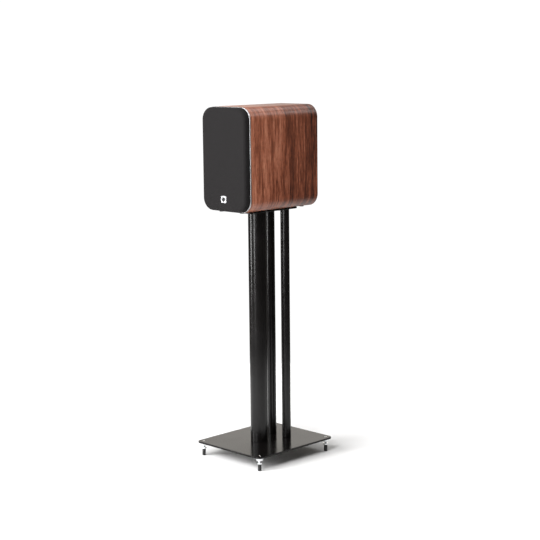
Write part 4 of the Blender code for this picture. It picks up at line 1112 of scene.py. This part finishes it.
def make_feet():
    """Threaded chrome spikes in rubber boots, with lock nuts, and the cabinet's own rubber feet."""
    base_top = BASE_HIGH.z / MM

    def thread(t, along, size):
        cut = screw_thread(t, along, SPIKE_PITCH, 0.62)
        plain = (size > 3.7) & (size < 3.95) & (along > 23.7) & (along < base_top - 0.8)
        return np.where(plain, -cut, 0)

    def key(t, along, size):
        near = (np.abs(size - 2.0) < 0.2) & (along > base_top - 3.1)
        return thread(t, along, size) + np.where(near, hexagon(t, 2.0), 0)

    def collar_grip(t, along, size):
        rim = (size > 8.6) & (along > 29.6) & (along < 35.3)
        return np.where(rim, -0.18 * np.abs(np.sin(18 * t)), 0)

    spike = [(0, 3.5), (0.5, 3.5), (3.4, 19.2), (7.6, 19.2), (7.6, 23.5), (3.9, 23.5),
             (3.9, base_top), (2.0, base_top), (2.0, base_top - 3), (0, base_top - 3)]
    boot = [(0, 0), (4.5, 0), (4.85, 0.7), (4.8, 18.9), (3.9, 18.9), (1.0, 3.1), (0, 3.0)]
    nut = [(4.3, 29), (9.0, 29), (9.45, 29.7), (9.45, 35.2), (8.9, 35.85), (4.3, 35.85), (4.3, 29)]
    for corner in CORNERS:
        spot = middle(f"spike_{corner}")
        place = np.array([spot[0], spot[1], 0])
        turned(f"threaded_spike_{corner}", spike, place, "Z", "chrome", f"screw_{corner}",
               [f"spike_{corner}"], [0, 0.1, 0.3, 0.7, 0.7, 0.3, 0.4, 0.2, 0.1, 0], 48, key, 0.16)
        turned(f"spike_boot_{corner}", boot, place, "Z", "rubber", f"boot_{corner}",
               [f"rubber_boot_{corner}"], 0.3, 64)
        turned(f"lock_nut_{corner}", nut, place, "Z", "chrome", ROOT,
               [f"spike_lock_nut_{corner}"], 0.35, 144, collar_grip, 0.5)
        low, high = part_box(f"speaker_foot_{corner}")
        under, over = low.z / MM, high.z / MM
        pad = [(0, under), (5.9, under), (6.3, over), (0, over)]
        foot = middle(f"speaker_foot_{corner}")
        turned(f"cabinet_foot_{corner}", pad, np.array([foot[0], foot[1], 0]), "Z", "rubber", ROOT,
               [f"speaker_foot_{corner}"], 0.8, 48)


# ------------------------------------------------------------------ studio

BACKDROP = 1.25                   # radiance of the white cloth hung behind the object
ROOM = 0.11                       # radiance of the dim room all round
# name, compass direction in degrees, distance, height, size, watts, height aimed at
LAMPS = (
    ("front_strip", -66.0, 1.4, 1.35, (0.32, 1.35), 36.0, 1.2),
    ("left_soft_box", -112.0, 2.3, 1.6, (1.20, 1.65), 108.0, 1.2),
    ("low_strip_front", -82.0, 1.8, 0.42, (0.26, 0.36), 6.2, 0.42),
    ("low_strip_left", -131.0, 1.8, 0.42, (0.26, 0.36), 8.6, 0.42),
    ("ceiling_panel", -110.0, 0.5, 2.9, (1.2, 1.2), 20.0, 0.0),
    ("rear_soft_box", 90.0, 1.5, 3.0, (1.1, 0.9), 15.0, 0.6),
    ("rear_lamp", 57.0, 2.2, 2.4, (0.7, 0.4), 10.0, 0.9),
)
CAMERA_PLACE = (2.7578, -2.7292, 1.1269)
CAMERA_TURN, CAMERA_DIP, CAMERA_ROLL = math.radians(45.02), math.radians(8.91), -0.0102
LENS, SENSOR = 95.31, 36.0        # millimetres


def add_lamp(name, azimuth, distance, height, size, power, aim_height):
    """Soft box: azimuth is its compass direction from the object in degrees, 0 towards +X."""
    lamp = bpy.data.lights.new(name, "AREA")
    lamp.shape = "RECTANGLE"
    lamp.size, lamp.size_y = size
    lamp.energy = power
    made = bpy.data.objects.new(name, lamp)
    turn = math.radians(azimuth)
    made.location = (distance * math.cos(turn), distance * math.sin(turn), height)
    aim = Vector((0, 0, aim_height)) - made.location
    made.rotation_euler = aim.to_track_quat("-Z", "Y").to_euler()
    made.visible_camera = False
    bpy.context.scene.collection.objects.link(made)


def make_studio():
    """White floor with a painted glow away from the middle, fading into a white room, with soft
    boxes in front, above and behind.
    """
    radius = np.linspace(0, 1, 24)[:, None] ** 1.4 * 1.15
    turn = np.linspace(0, 2 * np.pi, 97)[None]
    level = 0 * radius * turn - 0.0002
    points = np.stack([radius * np.cos(turn), radius * np.sin(turn), level], -1)
    made, tree, shader = new_finish("white_floor_with_painted_glow", Roughness=0.85, Specular_IOR_Level=0.1)
    grain = object_noise(tree, 900.0, 3.0)
    place = node(tree, "ShaderNodeTexCoord").outputs["Object"]
    away = node(tree, "ShaderNodeVectorMath", {"operation": "LENGTH"}, {0: place}).outputs["Value"]
    # painted light: the floor glows by itself, from nothing 0.22 m from the middle up to 0.5 at
    # 0.55 m and beyond, washing out the speaker's cast shadows there
    shader.inputs["Emission Color"].default_value = (1, 1, 1, 1)
    feed(tree, shader, Emission_Strength=spread(tree, away, 0.0, 0.50, 0.22, 0.55))
    feed(tree, shader, Base_Color=ramp(tree, grain, [(0.3, "#d8d8d8"), (0.7, "#dedede")]),
         Normal=bump(tree, grain, 0.00002, 0.3))
    spots, quads, uv = grid_patch(points)
    mesh = bpy.data.meshes.new("studio_floor")
    mesh.from_pydata(spots.tolist(), [], quads.tolist())
    build = bmesh.new()
    build.from_mesh(mesh)
    bmesh.ops.remove_doubles(build, verts=build.verts, dist=WELD)
    build.to_mesh(mesh)
    build.free()
    mesh.materials.append(made)
    floor = bpy.data.objects.new("studio_floor", mesh)
    bpy.context.scene.collection.objects.link(floor)

    world = bpy.data.worlds.new("studio_room")
    bpy.context.scene.world = world
    world.use_nodes = True
    tree = world.node_tree
    tree.nodes.clear()
    way = node(tree, "ShaderNodeTexCoord").outputs["Generated"]
    up = node(tree, "ShaderNodeSeparateXYZ", links={"Vector": way}).outputs["Z"]
    across = node(tree, "ShaderNodeVectorMath", {"operation": "DOT_PRODUCT", 1: (-0.707, 0.707, 0)},
                  {0: way}).outputs["Value"]
    behind = spread(tree, across, 0.0, 1.0, 0.35, 0.85)
    low = spread(tree, up, 1.0, 0.0, 0.25, 0.55)
    over = spread(tree, up, 0.0, 1.0, -0.04, 0.06)
    glow = node(tree, "ShaderNodeMath", {"operation": "MULTIPLY"}, {0: behind, 1: low}).outputs[0]
    glow = node(tree, "ShaderNodeMath", {"operation": "MULTIPLY"}, {0: glow, 1: over}).outputs[0]
    level = node(tree, "ShaderNodeMath", {"operation": "MULTIPLY_ADD", 1: BACKDROP, 2: ROOM},
                 {0: glow}).outputs[0]
    tone = node(tree, "ShaderNodeMix", {"data_type": "RGBA", "blend_type": "MULTIPLY", 0: 1.0,
                                        7: (1.0, 0.955, 0.89, 1.0)}, {6: level})
    room = node(tree, "ShaderNodeBackground", {"Strength": 1.0}, {"Color": tone.outputs[2]})
    seen = node(tree, "ShaderNodeBackground", {"Color": (1, 1, 1, 1), "Strength": 1.05})
    ray = node(tree, "ShaderNodeLightPath").outputs["Is Camera Ray"]
    both = node(tree, "ShaderNodeMixShader",
                links={0: ray, 1: room.outputs[0], 2: seen.outputs[0]})
    node(tree, "ShaderNodeOutputWorld", links={"Surface": both.outputs[0]})
    for lamp in LAMPS:
        add_lamp(*lamp)


def make_camera():
    """Long lens a little above the cabinet, turned off the grille and tipped down."""
    camera = bpy.data.cameras.new("main_camera")
    camera.lens = LENS
    camera.sensor_width = SENSOR
    camera.clip_end = 50.0
    made = bpy.data.objects.new("main_camera", camera)
    turn, pitch, roll = CAMERA_TURN, CAMERA_DIP, CAMERA_ROLL
    right = Vector((math.cos(turn), math.sin(turn), 0))
    ahead = Vector((-math.sin(turn) * math.cos(pitch), math.cos(turn) * math.cos(pitch),
                    -math.sin(pitch)))
    upward = right.cross(ahead)
    across = math.cos(roll) * right + math.sin(roll) * upward
    above = -math.sin(roll) * right + math.cos(roll) * upward
    place = Matrix((across, above, -ahead)).transposed().to_4x4()
    place.translation = Vector(CAMERA_PLACE)
    made.matrix_world = place
    bpy.context.scene.collection.objects.link(made)
    bpy.context.scene.camera = made
    view = bpy.context.scene.view_settings
    view.view_transform = "Standard"
    view.look = "None"
    view.exposure = 0.0
    view.gamma = 1.0


make_camera()
make_cabinet()
make_grille()
make_woofer()
make_tweeter()
make_rear()
make_inside()
make_stand()
make_feet()
make_studio()
